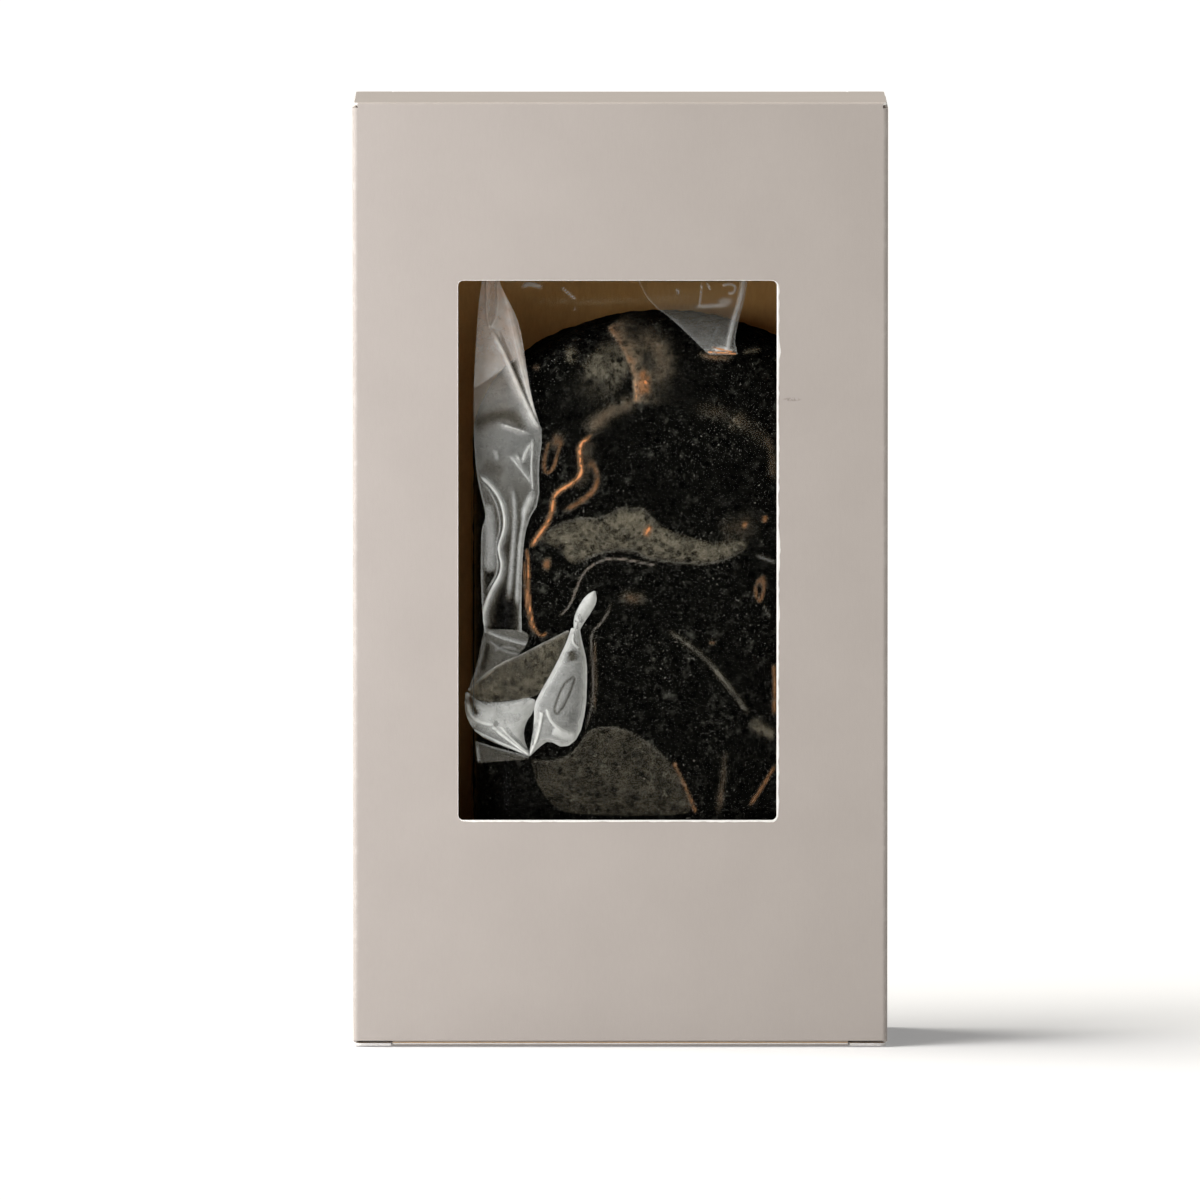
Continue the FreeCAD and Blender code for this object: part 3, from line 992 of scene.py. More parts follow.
@dataclass
class FilmBag:
    """The clear bag: its skin, the fold down its left side, the gathered part, mouth and seals.

    Sizes are in millimetres, and heights are above the carton's base.
    """

    form: SpongeForm
    window: Window
    material: Material
    slack: float = 0.5
    step: float = 0.33
    coarse: float = 2.4
    margin: float = 1.0
    back_lines: int = 30
    loose_from: float = 4.0
    loose_over: float = 8.0
    drift: float = 0.30
    crinkle: float = 0.06
    loose_crinkle: float = 0.5
    back_share: float = 0.6
    leave: float = 5.0
    tent_foot: float = 12.0
    mouth: float = 138.0
    mouth_room: float = 3.0
    mouth_thick: float = 0.3
    mouth_head: float = 145.5
    mouth_end: float = 134.8
    mouth_reach: float = 35.9
    mouth_wave: float = 0.9
    leaf_gap: float = 0.2
    leaf_plane: float = -13.9
    shiver: float = 0.12
    layer_share: float = 0.62
    line_share: float = 0.72
    plain_white: float = 0.05
    weld_lines: int = 90
    weld_wave: float = 0.10
    rib_pitch: float = 1.6
    rib_white: float = 0.12

    def finish(self, piece: Object, flat: Pair, held: str, *nodes: str, leaves: int = 2) -> None:
        """Dresses a film piece and ties it to the pack.

        Args:
            piece: the film.
            flat: the width and length it was cut to, in millimetres; not used.
            held: how it is held; not used.
            nodes: the solids that it stands for.
            leaves: how many faces of the mesh lie over each other; not used.
        """
        piece.data.materials.clear()
        piece.data.materials.append(self.material)
        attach(piece, PACK)
        if nodes:
            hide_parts(*nodes)

    def base_depth(self, x: Array, z: Array) -> Array:
        """How far the filled bag reaches from its middle plane.

        Args:
            x: places across the carton.
            z: places above its base.

        Returns:
            The half depth in millimetres.
        """
        form = self.form
        inside = form.depth_inside(x, z)
        full = form.half_depth(inside) + self.slack
        rim = form.half_thick - form.rim + self.slack
        floor = rim * np.clip((z - form.base + self.slack) / self.slack, 0.02, 1.0)
        start = form.half_depth(np.array(self.leave)) + self.slack
        height = self.mouth - form.arch_base - form.rise + self.leave + self.mouth_room
        above = np.clip((self.leave - inside) / height, 0.0, 1.0)
        tent = (start - self.mouth_thick) * (1.0 - above) + self.mouth_thick
        high = np.where(inside > self.leave, full, np.maximum(tent, np.where(inside > 0.0, full, 0.0)))
        outside = np.where(z < form.base + form.shoulder, floor, rim)
        body = np.where(inside > 0.0, full, outside)
        blend = np.clip((z - form.arch_base + self.tent_foot) / self.tent_foot, 0.0, 1.0)
        return body * (1.0 - blend) + high * blend

    def lines(self, low: float, high: float, near: float, far: float) -> Array:
        """Grid lines that lie close together behind the window and wide apart beside it.

        Args:
            low: the first line's place.
            high: the last line's place.
            near: where the close lines start.
            far: where they end.

        Returns:
            The lines' places.
        """
        near, far = max(low, near), min(high, far)
        before = np.linspace(low, near, max(2, int((near - low) / self.coarse) + 1))[:-1]
        close = np.linspace(near, far, int((far - near) / self.step) + 1)
        after = np.linspace(far, high, max(2, int((high - far) / self.coarse) + 1))[1:]
        return np.concatenate([before if near > low else [], close, after if far < high else []])

    def skin(self) -> None:
        """The skin round the sponge, from the bottom seal to the mouth."""
        left = self.form.across - self.form.half_width - self.slack
        right = self.form.across + self.form.half_width + self.slack
        edge = self.window.left + self.window.width
        front = self.lines(left, right, self.window.left - self.margin, edge + self.margin)
        rows = self.lines(self.form.base - self.slack, self.mouth, self.window.base - self.margin, self.mouth)
        back = np.linspace(right, left, self.back_lines)
        across = np.concatenate([front, np.full(3, right), back, np.full(3, left)])
        round_end = np.array([-0.5, 0.0, 0.5])
        turn = np.concatenate([np.full(len(front), -1.0), round_end, np.full(len(back), 1.0), -round_end])
        x, z = np.meshgrid(across, rows)
        side = np.broadcast_to(turn, x.shape)
        lift, marks = self.marks(x, z, SKIN_CREASES, CLINGS)
        loose = np.clip((self.loose_from - self.form.depth_inside(x, z)) / self.loose_over, 0.0, 1.0)
        broad = np.abs(self.ripple(x, z, scale=0.05, seed=3.7))
        small = np.abs(self.ripple(x, z, scale=0.15, seed=9.1))
        wave = self.drift * broad + (self.crinkle + self.loose_crinkle * loose) * small
        facing, behind = side == -1.0, side == 1.0
        y = self.form.middle + side * self.base_depth(x, z)
        y = np.where(facing, y - lift - wave, y + behind * self.back_share * wave)
        piece = new_piece("bag_skin", metres(x, y, z), grid_faces(len(rows), len(across), closed=True))
        keep_marks(piece, {name: mark * facing for name, mark in marks.items()})
        self.finish(piece, (190.0, 146.0), "stretched", "film_bag", leaves=1)

    @staticmethod
    def ripple(a: Array, b: Array, scale: float, seed: float) -> Array:
        """Smooth ripples over a surface.

        Args:
            a: places along one direction.
            b: places along the other.
            scale: ripples for each millimetre.
            seed: picks the pattern.

        Returns:
            Heights from about -1 to 1.
        """
        heights = [noise.noise(Vector((p * scale, seed, q * scale * 0.85))) for p, q in zip(a.flat, b.flat)]
        return np.array(heights).reshape(a.shape)

    def marks(
        self, x: Array, z: Array, creases: Sequence[Crease], clings: Sequence[tuple[float, Path]]
    ) -> tuple[Array, dict[str, Array]]:
        """What creases and clinging patches do to points of the film.

        Args:
            x: places across the carton.
            z: places above its base.
            creases: the creases to follow.
            clings: for each patch, how closely the film lies on the sponge, and its outline.

        Returns:
            The lift at each point, and the values that its finish reads.
        """
        across, up = x - self.window.left, z - self.window.base
        lift = np.zeros(x.shape)
        marks = {name: np.zeros(x.shape) for name in MARKS}
        for crease in creases:
            line = crease.line(across, up)
            lift += crease.lift * line
            # Whitening that is partly painted highlight, and painted amber and grey reflections.
            for name, share in (("crease", crease.white_highlight_shade), ("amber_reflection", crease.amber_reflection), ("grey_reflection", crease.grey_reflection)):
                marks[name] = np.maximum(marks[name], share * line)
        # Haze where the film clings, a painted reflection.
        for close, outline in clings:
            inside = distance_inside(across, up, rounded(outline, 1))
            marks["cling_reflection"] = np.maximum(marks["cling_reflection"], np.clip(0.5 + inside / 2.0, 0.0, close))
        return lift, marks

    def leaf_points(self, leaf: Leaf, back: Lean) -> tuple[Array, dict[str, Array]]:
        """Shapes one flap of film.

        Args:
            leaf: the flap.
            back: how far it leans back at each height above the carton's base.

        Returns:
            Its points in metres and the values on them.
        """
        edges = [rounded(leaf.first, 1), rounded(leaf.second, 1)]
        first, second = (walk(edge, leaf.rows) for edge in edges)
        share = np.linspace(0.0, 1.0, leaf.columns)[None, :]
        along = np.linspace(0.0, 1.0, leaf.rows)[:, None]
        across, up = (between((first[:, i, None], second[:, i, None]), share) for i in (0, 1))
        x, z = across + self.window.left, up + self.window.base
        lift = np.zeros(x.shape)
        # Painted amber reflection along the leaf.
        amber_reflection = np.maximum(lift, between(leaf.amber_reflection_ends, along))
        # The leaf's whiteness: partly haze of the doubled film, partly painted highlight; creases under 0 take it
        # away as painted shade.
        pale = np.broadcast_to(between(leaf.core, along), x.shape) * self.layer_share
        for edge, rim in zip(edges, leaf.rim):
            far = nearest_on_path(across, up, edge)[0] / leaf.rim_width
            pale = np.maximum(pale, rim * self.layer_share * np.exp(-far))
        for crease in leaf.creases:
            line = crease.line(across, up)
            lift += crease.lift * line
            amber_reflection = np.maximum(amber_reflection, crease.amber_reflection * line)
            white_highlight_shade = crease.white_highlight_shade * self.line_share
            pale = np.maximum(pale, white_highlight_shade * line) * (1.0 + min(crease.white_highlight_shade, 0.0) * line)
        round_out = leaf.bulge * np.sin(np.pi * share) * np.sin(np.pi * np.clip(along, 0.04, 0.96)) ** 0.5
        shiver = self.shiver * self.ripple(x, z, scale=0.35, seed=4.4)
        y = self.leaf_plane - between(leaf.lift, along) - round_out - lift - shiver + back(z)
        marks = {"crease": pale, "amber_reflection": amber_reflection, "cling_reflection": np.full(x.shape, leaf.cling_reflection)}
        return metres(x, y, z), {name: mark.ravel() for name, mark in marks.items()}

    def flap(
        self, name: str, leaves: Sequence[Leaf], back: Lean, flat: Pair, held: str, *nodes: str
    ) -> None:
        """Makes one piece of folded film from its leaves.

        Args:
            name: the piece's name.
            leaves: its leaves, each with two layers of film.
            back: how far they lean back at each height.
            flat: as in finish.
            held: as in finish.
            nodes: as in finish.
        """
        points, faces, marks, count = [], [], [], 0
        for leaf in leaves:
            places, values = self.leaf_points(leaf, back)
            faces.append(grid_faces(leaf.rows, leaf.columns) + count)
            count += len(places)
            points.append(places)
            marks.append(values)
        piece = new_piece(name, np.concatenate(points), np.concatenate(faces))
        keep_marks(piece, {key: np.concatenate([values[key] for values in marks]) for key in marks[0]})
        self.thicken(piece, self.leaf_gap)
        self.finish(piece, flat, held, *nodes)

    @staticmethod
    def thicken(piece: Object, depth: float) -> None:
        """Doubles a folded film: two layers that close at their edges.

        Args:
            piece: the front layer.
            depth: how far back the other layer lies, in millimetres.
        """
        work = bmesh.new()
        work.from_mesh(piece.data)
        bmesh.ops.remove_doubles(work, verts=work.verts, dist=JOIN)
        bmesh.ops.recalc_face_normals(work, faces=work.faces)
        work.to_mesh(piece.data)
        work.free()
        solid = piece.modifiers.new("layers", "SOLIDIFY")
        solid.thickness = depth * MM
        solid.offset = 0.0
        apply_modifiers(piece)

    def flaps(self) -> None:
        """The side pleat down the front's left, the bunch at its foot and the mouth's hanging corner."""
        pleat = leaning(116.0, 138.0, 6.0, 1.4)
        self.flap("side_pleat", [SIDE_PLEAT], pleat, (14.0, 66.0), "folded", "bag_side_fold")
        self.flap("side_gather", GATHER, np.zeros_like, (30.0, 34.0), "gathered")
        self.flap("mouth_corner", [MOUTH_CORNER], leaning(124.0, 140.0, 10.5), (24.0, 22.0), "folded")

    def mouth_fold(self) -> None:
        """The flat mouth of the bag, folded over backwards at the top."""
        middle, head = self.form.middle, self.mouth_head
        up = [(middle - 0.1, z) for z in np.linspace(self.mouth - 1.0, head, 12)]
        bend = [(middle + 0.35 - 0.45 * math.cos(a), head + 0.4 * math.sin(a)) for a in np.linspace(0.4, 2.74, 6)]
        down = [(middle + 0.8, z) for z in np.linspace(head - 0.3, self.mouth_end, 14)]
        section = np.array(up + bend + down)
        across = self.form.across + np.linspace(-self.mouth_reach, self.mouth_reach, 110)
        x, z = np.meshgrid(across, section[:, 1])
        y = section[:, :1] + self.mouth_wave * self.ripple(x, z, scale=0.11, seed=5.5)
        piece = new_piece("bag_mouth", metres(x, y, z), grid_faces(len(section), len(across)))
        tip = np.exp(-(((z - head - 0.2) / 0.5) ** 2)) * 0.5
        keep_marks(piece, {"crease": self.plain_white + tip})
        self.thicken(piece, depth=0.15)
        self.finish(piece, (72.0, 22.0), "folded", "bag_top_fold")

    def weld(self, name: str, node: str, flat: Pair) -> None:
        """A ribbed strip of welded film in the place of its solid.

        Args:
            name: the piece's name.
            node: the solid that it stands for.
            flat: its width and length in millimetres.
        """
        low, high = (np.array(corner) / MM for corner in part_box(node))
        size = high - low
        thin = int(np.argmin(size))
        wide, long = (i for i in range(3) if i != thin)
        a, b = np.meshgrid(*(np.linspace(low[i], high[i], self.weld_lines) for i in (wide, long)))
        points = np.zeros((*a.shape, 3))
        points[..., wide], points[..., long] = a, b
        wave = self.weld_wave * self.ripple(a, b, scale=0.12, seed=1.5)
        points[..., thin] = 0.5 * (low[thin] + high[thin]) + wave
        rib = 0.5 + 0.5 * np.cos((b if size[wide] > size[long] else a) * 2.0 * np.pi / self.rib_pitch)
        piece = new_piece(name, points.reshape(-1, 3) * MM, grid_faces(*a.shape))
        keep_marks(piece, {"crease": self.plain_white + self.rib_white * rib})
        self.thicken(piece, depth=0.1)
        self.finish(piece, flat, "folded", node)


# The folded margin down the left of the window, from the top down.
SIDE_PLEAT = Leaf(
    first=((4.6, 99.0), (4.3, 95.9), (3.7, 92.4), (3.3, 86.5), (2.9, 79.5), (2.8, 72.8), (2.9, 67.7), (3.3, 61.9),
        (4.3, 57.2), (5.1, 54.4), (4.2, 51.9), (4.1, 48.6), (4.1, 40.7), (4.7, 33.6)),
    second=((6.4, 99.0), (7.2, 95.9), (8.8, 92.7), (10.4, 89.6), (11.3, 86.5), (12.1, 81.0), (12.9, 76.3),
        (13.9, 72.4), (15.1, 69.1), (14.3, 63.0), (14.5, 56.8), (12.3, 53.3), (11.5, 48.6), (11.2, 40.7),
        (11.3, 33.6)),
    lift=(0.3, 0.3), bulge=0.6, core=(0.72, -0.16), rim=(0.62, 0.6), rim_width=0.3, rows=240, columns=64,
    amber_reflection_ends=(0.075, -0.08),
    creases=(
        Crease(((15.0, 85.4), (11.9, 83.0), (8.2, 80.4), (3.0, 76.9), (1.5, 75.8)), 0.2, 0.0, -0.72, soft=15.0,
            taper=0.0),
        Crease(((2.4, 70.4), (6.7, 72.3), (9.0, 72.5), (12.6, 70.2)), 1.25, -0.1, -0.72),
        Crease(((6.1, 96.0), (6.1, 89.6)), 0.5, -0.2, -0.4),
        Crease(((4.4, 63.6), (8.0, 61.8)), 1.5, 0.0, -0.35),
        Crease(((9.4, 53.5), (8.8, 48.0), (9.0, 44.0), (7.4, 38.5)), 0.6, -0.2, -0.6),
        Crease(((5.1, 99.0), (5.1, 95.8), (5.0, 90.6), (5.6, 87.7)), 0.15, 0.4, 0.85, taper=0.02),
        Crease(((6.9, 99.0), (6.9, 95.8), (7.2, 90.6), (5.8, 87.7)), 0.15, 0.3, 0.8, soft=0.4, taper=0.02),
        Crease(((7.7, 96.4), (8.7, 92.5), (9.9, 88.0), (10.9, 83.6), (12.3, 78.0), (14.3, 70.0)), 0.75, 0.4, 0.78),
        Crease(((9.0, 91.4), (10.2, 86.0), (11.6, 80.0), (13.2, 74.0)), 0.14, 0.0, -0.32),
        Crease(((7.4, 87.4), (9.0, 83.4), (10.8, 79.0), (13.8, 71.2)), 0.32, -0.2, -0.6),
        Crease(((14.8, 69.2), (12.0, 75.0), (9.8, 80.1), (8.0, 84.0), (6.0, 87.6)), 0.16, 0.5, 0.85, soft=1.1),
        Crease(((13.8, 68.8), (10.0, 70.0), (6.4, 71.2)), 0.15, 0.4, 0.6, soft=0.8, taper=0.3),
        Crease(((10.1, 65.9), (11.4, 63.3)), 0.4, 0.3, 0.5, taper=0.4),
        Crease(((13.2, 67.8), (11.7, 65.0), (11.4, 63.3)), 0.3, 0.3, 0.75, soft=0.5, taper=0.25),
        Crease(((9.0, 65.3), (11.2, 62.6), (13.1, 60.1)), 0.15, 0.3, 0.5, soft=0.8),
        Crease(((6.2, 66.6), (7.0, 65.2), (6.6, 63.8)), 0.5, 0.2, 0.34, taper=0.3),
        Crease(((13.3, 68.4), (13.0, 63.0), (13.3, 58.6)), 0.16, 0.3, 0.7, soft=0.3),
        Crease(((13.6, 59.6), (13.0, 57.6), (12.0, 55.4), (11.6, 53.0)), 0.7, 0.3, 0.6, taper=0.35),
        Crease(((5.0, 57.0), (5.8, 51.0), (5.6, 44.0)), 1.2, 0.2, 0.32),
        Crease(((3.6, 61.8), (6.4, 59.2), (7.9, 56.6), (8.5, 52.8), (7.4, 49.4), (7.2, 48.4), (8.1, 44.8),
            (5.6, 40.6), (4.3, 36.8), (4.8, 34.0)), 0.18, 0.7, 1.05, soft=0.4, taper=0.05),
        Crease(((3.9, 60.9), (6.5, 57.8), (7.8, 53.0), (6.6, 48.6), (7.4, 44.7), (4.8, 40.4)), 0.12, 0.3, 0.45),
        Crease(((9.7, 60.6), (10.3, 55.0), (10.0, 50.2), (9.4, 43.0), (9.0, 39.0)), 0.5, 0.5, 0.33, taper=0.15),
        Crease(((12.4, 56.4), (11.3, 51.0), (10.9, 46.0), (10.6, 38.0)), 0.5, 0.4, 0.38),
    ),
)
# The bunch below it: upper lobe, flat pane, left and right lobes, tail and foot.
GATHER = (
    Leaf(
        first=((4.7, 34.2), (3.3, 27.0), (1.8, 23.4)),
        second=((11.4, 34.0), (13.0, 32.8), (10.8, 29.4), (6.0, 26.6), (2.0, 23.3)),
        lift=(0.3, 0.9), bulge=0.4, core=(0.13, 0.06), rim=(0.2, 0.1), rim_width=0.5, rows=60, columns=30,
        creases=(
            Crease(((4.8, 33.8), (8.0, 32.4), (13.0, 31.2)), 0.15, 0.3, 0.42, soft=0.5),
            Crease(((5.2, 32.4), (8.2, 30.2), (11.6, 29.6)), 0.25, 0.3, 0.2),
            Crease(((6.4, 30.4), (8.4, 31.2), (10.6, 30.6)), 0.25, 0.2, 0.2),
            Crease(((4.8, 33.4), (4.4, 30.0), (2.4, 24.4)), 0.3, 0.3, 0.18, soft=0.7),
            Crease(((5.4, 32.0), (5.0, 29.0), (4.0, 26.6)), 0.6, 0.0, -0.8),
        ),
    ),
    Leaf(
        first=((1.8, 23.4), (4.4, 26.0), (7.2, 28.0), (10.8, 29.5), (13.6, 31.0), (19.6, 34.0)),
        second=((1.9, 23.2), (4.0, 21.1), (9.0, 21.4), (13.0, 22.0), (14.5, 22.7), (16.8, 26.6), (18.6, 30.4),
            (19.8, 33.8)),
        lift=(0.9, 1.2), bulge=0.3, core=(0.0, 0.0), rim=(0.22, 0.05), rim_width=0.25, cling_reflection=0.56, rows=60,
        columns=34,
    ),
    Leaf(
        first=((1.4, 22.9), (1.2, 20.5), (1.7, 18.0), (3.4, 15.4), (7.6, 13.4), (12.6, 11.6)),
        second=((1.6, 23.0), (4.0, 20.9), (9.0, 21.2), (13.8, 22.2), (13.5, 19.6), (12.0, 17.6), (11.5, 15.0),
            (12.7, 11.7)),
        lift=(0.8, 0.6), bulge=1.3, core=(0.6, 0.68), rim=(0.7, 0.5), rim_width=0.4, rows=90, columns=44,
        creases=(
            Crease(((2.2, 17.0), (4.6, 15.6), (8.2, 14.0), (11.0, 12.6)), 1.5, -0.2, -0.62),
            Crease(((6.6, 19.6), (9.2, 18.4), (11.6, 18.6)), 1.3, -0.1, -0.22),
            Crease(((1.5, 21.6), (1.9, 18.8), (4.4, 17.2), (6.8, 17.2)), 0.18, 0.4, 0.95, soft=0.8),
            Crease(((6.0, 16.9), (8.4, 14.8), (12.6, 11.8)), 0.16, 0.4, 1.2, soft=0.35, taper=0.02),
            Crease(((2.6, 16.2), (6.9, 14.1), (12.6, 11.8)), 0.14, 0.4, 1.0, soft=0.25, taper=0.02),
            Crease(((7.4, 17.0), (9.6, 14.6), (12.4, 12.2)), 0.16, 0.3, 1.0, taper=0.02),
            Crease(((8.4, 17.0), (10.0, 15.0), (12.4, 12.4)), 0.3, 0.0, -0.5),
            Crease(((2.2, 21.9), (2.6, 20.6), (3.2, 19.4)), 0.7, -0.3, -0.97, taper=0.0),
            Crease(((7.3, 17.6), (6.5, 16.9), (6.7, 18.0)), 0.22, 0.0, -0.6),
            Crease(((4.0, 21.2), (9.0, 21.2), (13.4, 22.0)), 0.4, 0.0, -0.35),
        ),
    ),
    Leaf(
        first=((20.2, 34.4), (19.2, 31.4), (16.8, 26.6), (14.7, 23.0), (13.5, 20.6), (13.6, 17.6), (12.7, 11.7)),
        second=((21.6, 34.2), (22.0, 32.0), (22.9, 28.4), (22.9, 24.0), (22.7, 20.0), (21.6, 15.0), (19.0, 12.9),
            (16.2, 14.4), (14.6, 13.4), (12.8, 11.6)),
        lift=(0.8, 0.8), bulge=1.5, core=(0.26, 0.32), rim=(0.95, 0.95), rim_width=1.1, rows=100, columns=44,
        creases=(
            Crease(((16.8, 16.4), (19.4, 15.2), (21.0, 15.0)), 1.3, 0.3, 0.72),
            Crease(((20.6, 25.8), (18.8, 24.6), (17.0, 20.0), (17.6, 18.8), (19.4, 21.4), (20.8, 25.4)), 0.22, -0.2,
                -0.7, taper=0.0),
            Crease(((15.6, 20.4), (16.4, 17.6), (18.8, 16.0), (21.0, 15.4)), 0.2, 0.4, 0.85, soft=0.5),
            Crease(((12.9, 12.0), (14.4, 15.6), (15.0, 19.4)), 0.2, 0.4, 1.0, soft=0.6, taper=0.02),
            Crease(((20.6, 33.6), (20.2, 32.0), (21.6, 30.6)), 0.25, 0.2, 0.7),
            Crease(((20.0, 30.4), (20.5, 28.6)), 1.0, -0.1, -0.8, taper=0.05),
            Crease(((19.6, 19.4), (20.6, 17.4)), 0.8, 0.0, -0.35),
            Crease(((13.4, 13.2), (13.2, 15.0), (13.7, 17.6)), 0.3, 0.0, -0.6),
        ),
    ),
    Leaf(
        first=((20.6, 34.2), (20.6, 36.0), (21.3, 37.9), (22.7, 40.1), (24.2, 40.9)),
        second=((21.7, 34.1), (22.3, 35.2), (23.7, 37.2), (24.7, 39.1), (24.4, 40.9)),
        lift=(0.5, 0.3), bulge=0.6, core=(0.66, 0.78), rim=(0.3, 0.35), rim_width=0.4, rows=40, columns=16,
        creases=(
            Crease(((21.5, 36.6), (21.9, 35.6)), 0.5, 0.0, -0.45, taper=0.0),
            Crease(((21.2, 34.4), (21.4, 35.2), (20.9, 35.6)), 0.2, 0.0, -0.5, taper=0.0),
        ),
    ),
    Leaf(
        first=((3.0, 14.2), (8.0, 12.6), (12.7, 11.5)),
        second=((3.4, 10.2), (8.0, 10.6), (12.6, 11.0)),
        lift=(0.2, 0.3), bulge=0.2, core=(0.09, 0.06), rim=(0.3, 0.1), rim_width=0.4, rows=50, columns=16,
        creases=(
            Crease(((3.4, 13.6), (3.7, 10.4)), 0.3, 0.1, 0.3),
        ),
    ),
)
# The corner of the mouth at the window's upper right.
MOUTH_CORNER = Leaf(
    first=((30.0, 100.0), (33.0, 93.6), (35.1, 91.2), (37.4, 89.7), (41.1, 86.4), (44.0, 83.6), (44.8, 83.1)),
    second=((52.4, 100.0), (51.5, 95.7), (50.9, 92.5), (50.0, 89.5), (49.3, 86.5), (49.2, 85.1), (49.7, 83.1)),
    lift=(0.3, 0.5), bulge=0.5, core=(-0.06, 0.22), rim=(0.24, 0.5), rim_width=0.16, rows=90, columns=72,
    creases=(
        Crease(((51.2, 98.0), (50.9, 95.7), (50.3, 92.5), (49.2, 89.4), (48.4, 86.5), (48.0, 84.2)), 0.5, 0.4, 0.62,
            taper=0.0),
        Crease(((45.4, 83.8), (47.2, 84.3), (49.0, 83.6)), 0.55, 0.2, 0.6),
        Crease(((44.4, 83.5), (46.6, 83.5), (49.5, 83.2)), 0.14, 0.2, 0.5, 0.35, taper=0.02),
        Crease(((45.0, 84.4), (47.4, 83.9), (49.2, 83.4)), 0.1, 0.2, 0.0, 0.3),
        Crease(((41.2, 91.2), (45.0, 91.5), (49.4, 91.6)), 0.42, 0.1, 0.34, taper=0.3),
        Crease(((45.6, 91.9), (49.4, 92.4)), 0.7, 0.1, 0.42, taper=0.4),
        Crease(((43.4, 95.6), (43.2, 93.6), (42.9, 91.1)), 0.1, 0.2, 0.7),
        Crease(((44.3, 95.4), (44.9, 94.1)), 0.12, 0.2, 0.6),
        Crease(((47.0, 94.9), (48.6, 95.3), (49.5, 94.6), (49.0, 93.6), (48.0, 93.6)), 0.2, 0.2, 0.55, taper=0.05),
        Crease(((36.6, 90.2), (41.1, 86.5), (44.2, 83.7)), 0.8, 0.0, 0.2, taper=0.2),
        Crease(((46.6, 88.6), (45.0, 85.2)), 0.3, 0.1, 0.2),
    ),
)
# Where the skin clings to the sponge: across its middle, and at the window's foot. Their grey haze is a painted
# reflection of the soft light.
MIDDLE_PATCH = ((14.3, 50.1), (17.4, 52.7), (21.3, 53.9), (24.8, 53.9), (26.8, 54.4), (28.7, 55.8), (31.1, 55.6),
    (33.0, 55.8), (34.6, 53.7), (36.6, 52.1), (40.9, 50.5), (45.9, 49.4), (49.8, 50.7), (51.8, 50.3), (51.4, 48.5),
    (48.3, 46.7), (44.8, 45.6), (38.9, 45.9), (33.0, 46.7), (31.9, 48.1), (26.4, 48.1), (22.9, 46.5), (20.1, 45.4),
    (18.2, 48.3))
FOOT_PATCH = ((13.1, 10.8), (13.7, 7.8), (15.1, 4.7), (17.8, 1.8), (22.1, 1.0), (36.9, 0.8), (42.0, 1.4),
    (40.5, 5.1), (38.1, 9.8), (35.4, 12.5), (31.1, 15.7), (26.8, 16.8), (23.3, 16.1), (22.1, 14.1), (19.8, 11.4),
    (16.6, 10.4))
CLINGS: Sequence[tuple[float, Path]] = ((0.98, MIDDLE_PATCH), (0.56, FOOT_PATCH))
# Painted amber reflections of the kraft inside on the skin: amber share, width, taper and line.
AMBER_REFLECTIONS: Sequence[tuple[float, float, float, Path]] = (
    (0.05, 1.0, 0.1, ((23.6, 68.0), (22.6, 65.4), (22.9, 62.0), (20.6, 59.4))),
    (0.4, 0.17, 0.1, ((11.8, 46.5), (12.0, 41.7), (12.3, 37.0), (13.4, 33.4))),
    (0.2, 0.6, 0.3, ((23.0, 64.0), (23.9, 62.4))),
    (0.26, 0.26, 0.05, ((16.2, 67.6), (15.2, 63.8), (15.5, 61.6), (17.0, 62.6), (17.6, 65.0), (18.4, 67.6))),
    (0.15, 1.1, 0.3, ((16.4, 68.0), (19.0, 67.0))),
    (0.12, 0.4, 0.3, ((13.2, 80.8), (14.6, 80.4))),
    (0.08, 0.7, 0.2, ((54.0, 69.6), (55.9, 66.0), (56.2, 60.0))),
    (0.04, 1.8, 0.3, ((46.0, 51.6), (50.6, 52.4), (54.0, 53.0))),
    (0.3, 0.24, 0.02, ((54.2, 43.6), (52.6, 41.5), (53.6, 38.4), (54.5, 41.5), (54.2, 43.6))),
    (0.16, 0.5, 0.3, ((54.0, 43.4), (54.6, 41.0))),
    (0.4, 0.26, 0.1, ((56.2, 28.0), (56.4, 23.0), (56.2, 18.6))),
    (0.4, 0.2, 0.05, ((38.3, 10.4), (40.6, 5.6), (42.4, 1.2))),
    (0.09, 0.5, 0.2, ((47.6, 12.6), (46.8, 4.6), (46.3, 0.8))),
    (0.42, 0.28, 0.15, ((56.7, 10.2), (54.1, 5.9), (51.8, 2.4))),
    (0.26, 0.8, 0.3, ((15.0, 45.8), (16.6, 45.6))),
    (0.45, 0.45, 0.2, ((33.3, 50.6), (34.2, 52.6))),
    (0.36, 0.4, 0.3, ((50.8, 52.0), (51.2, 53.4))),
    (0.36, 0.4, 0.3, ((54.3, 53.0), (54.7, 54.4))),
    (0.1, 0.9, 0.4, ((28.4, 40.0), (33.8, 39.4))),
    (0.3, 0.25, 0.3, ((44.6, 31.8), (45.9, 31.6))),
)
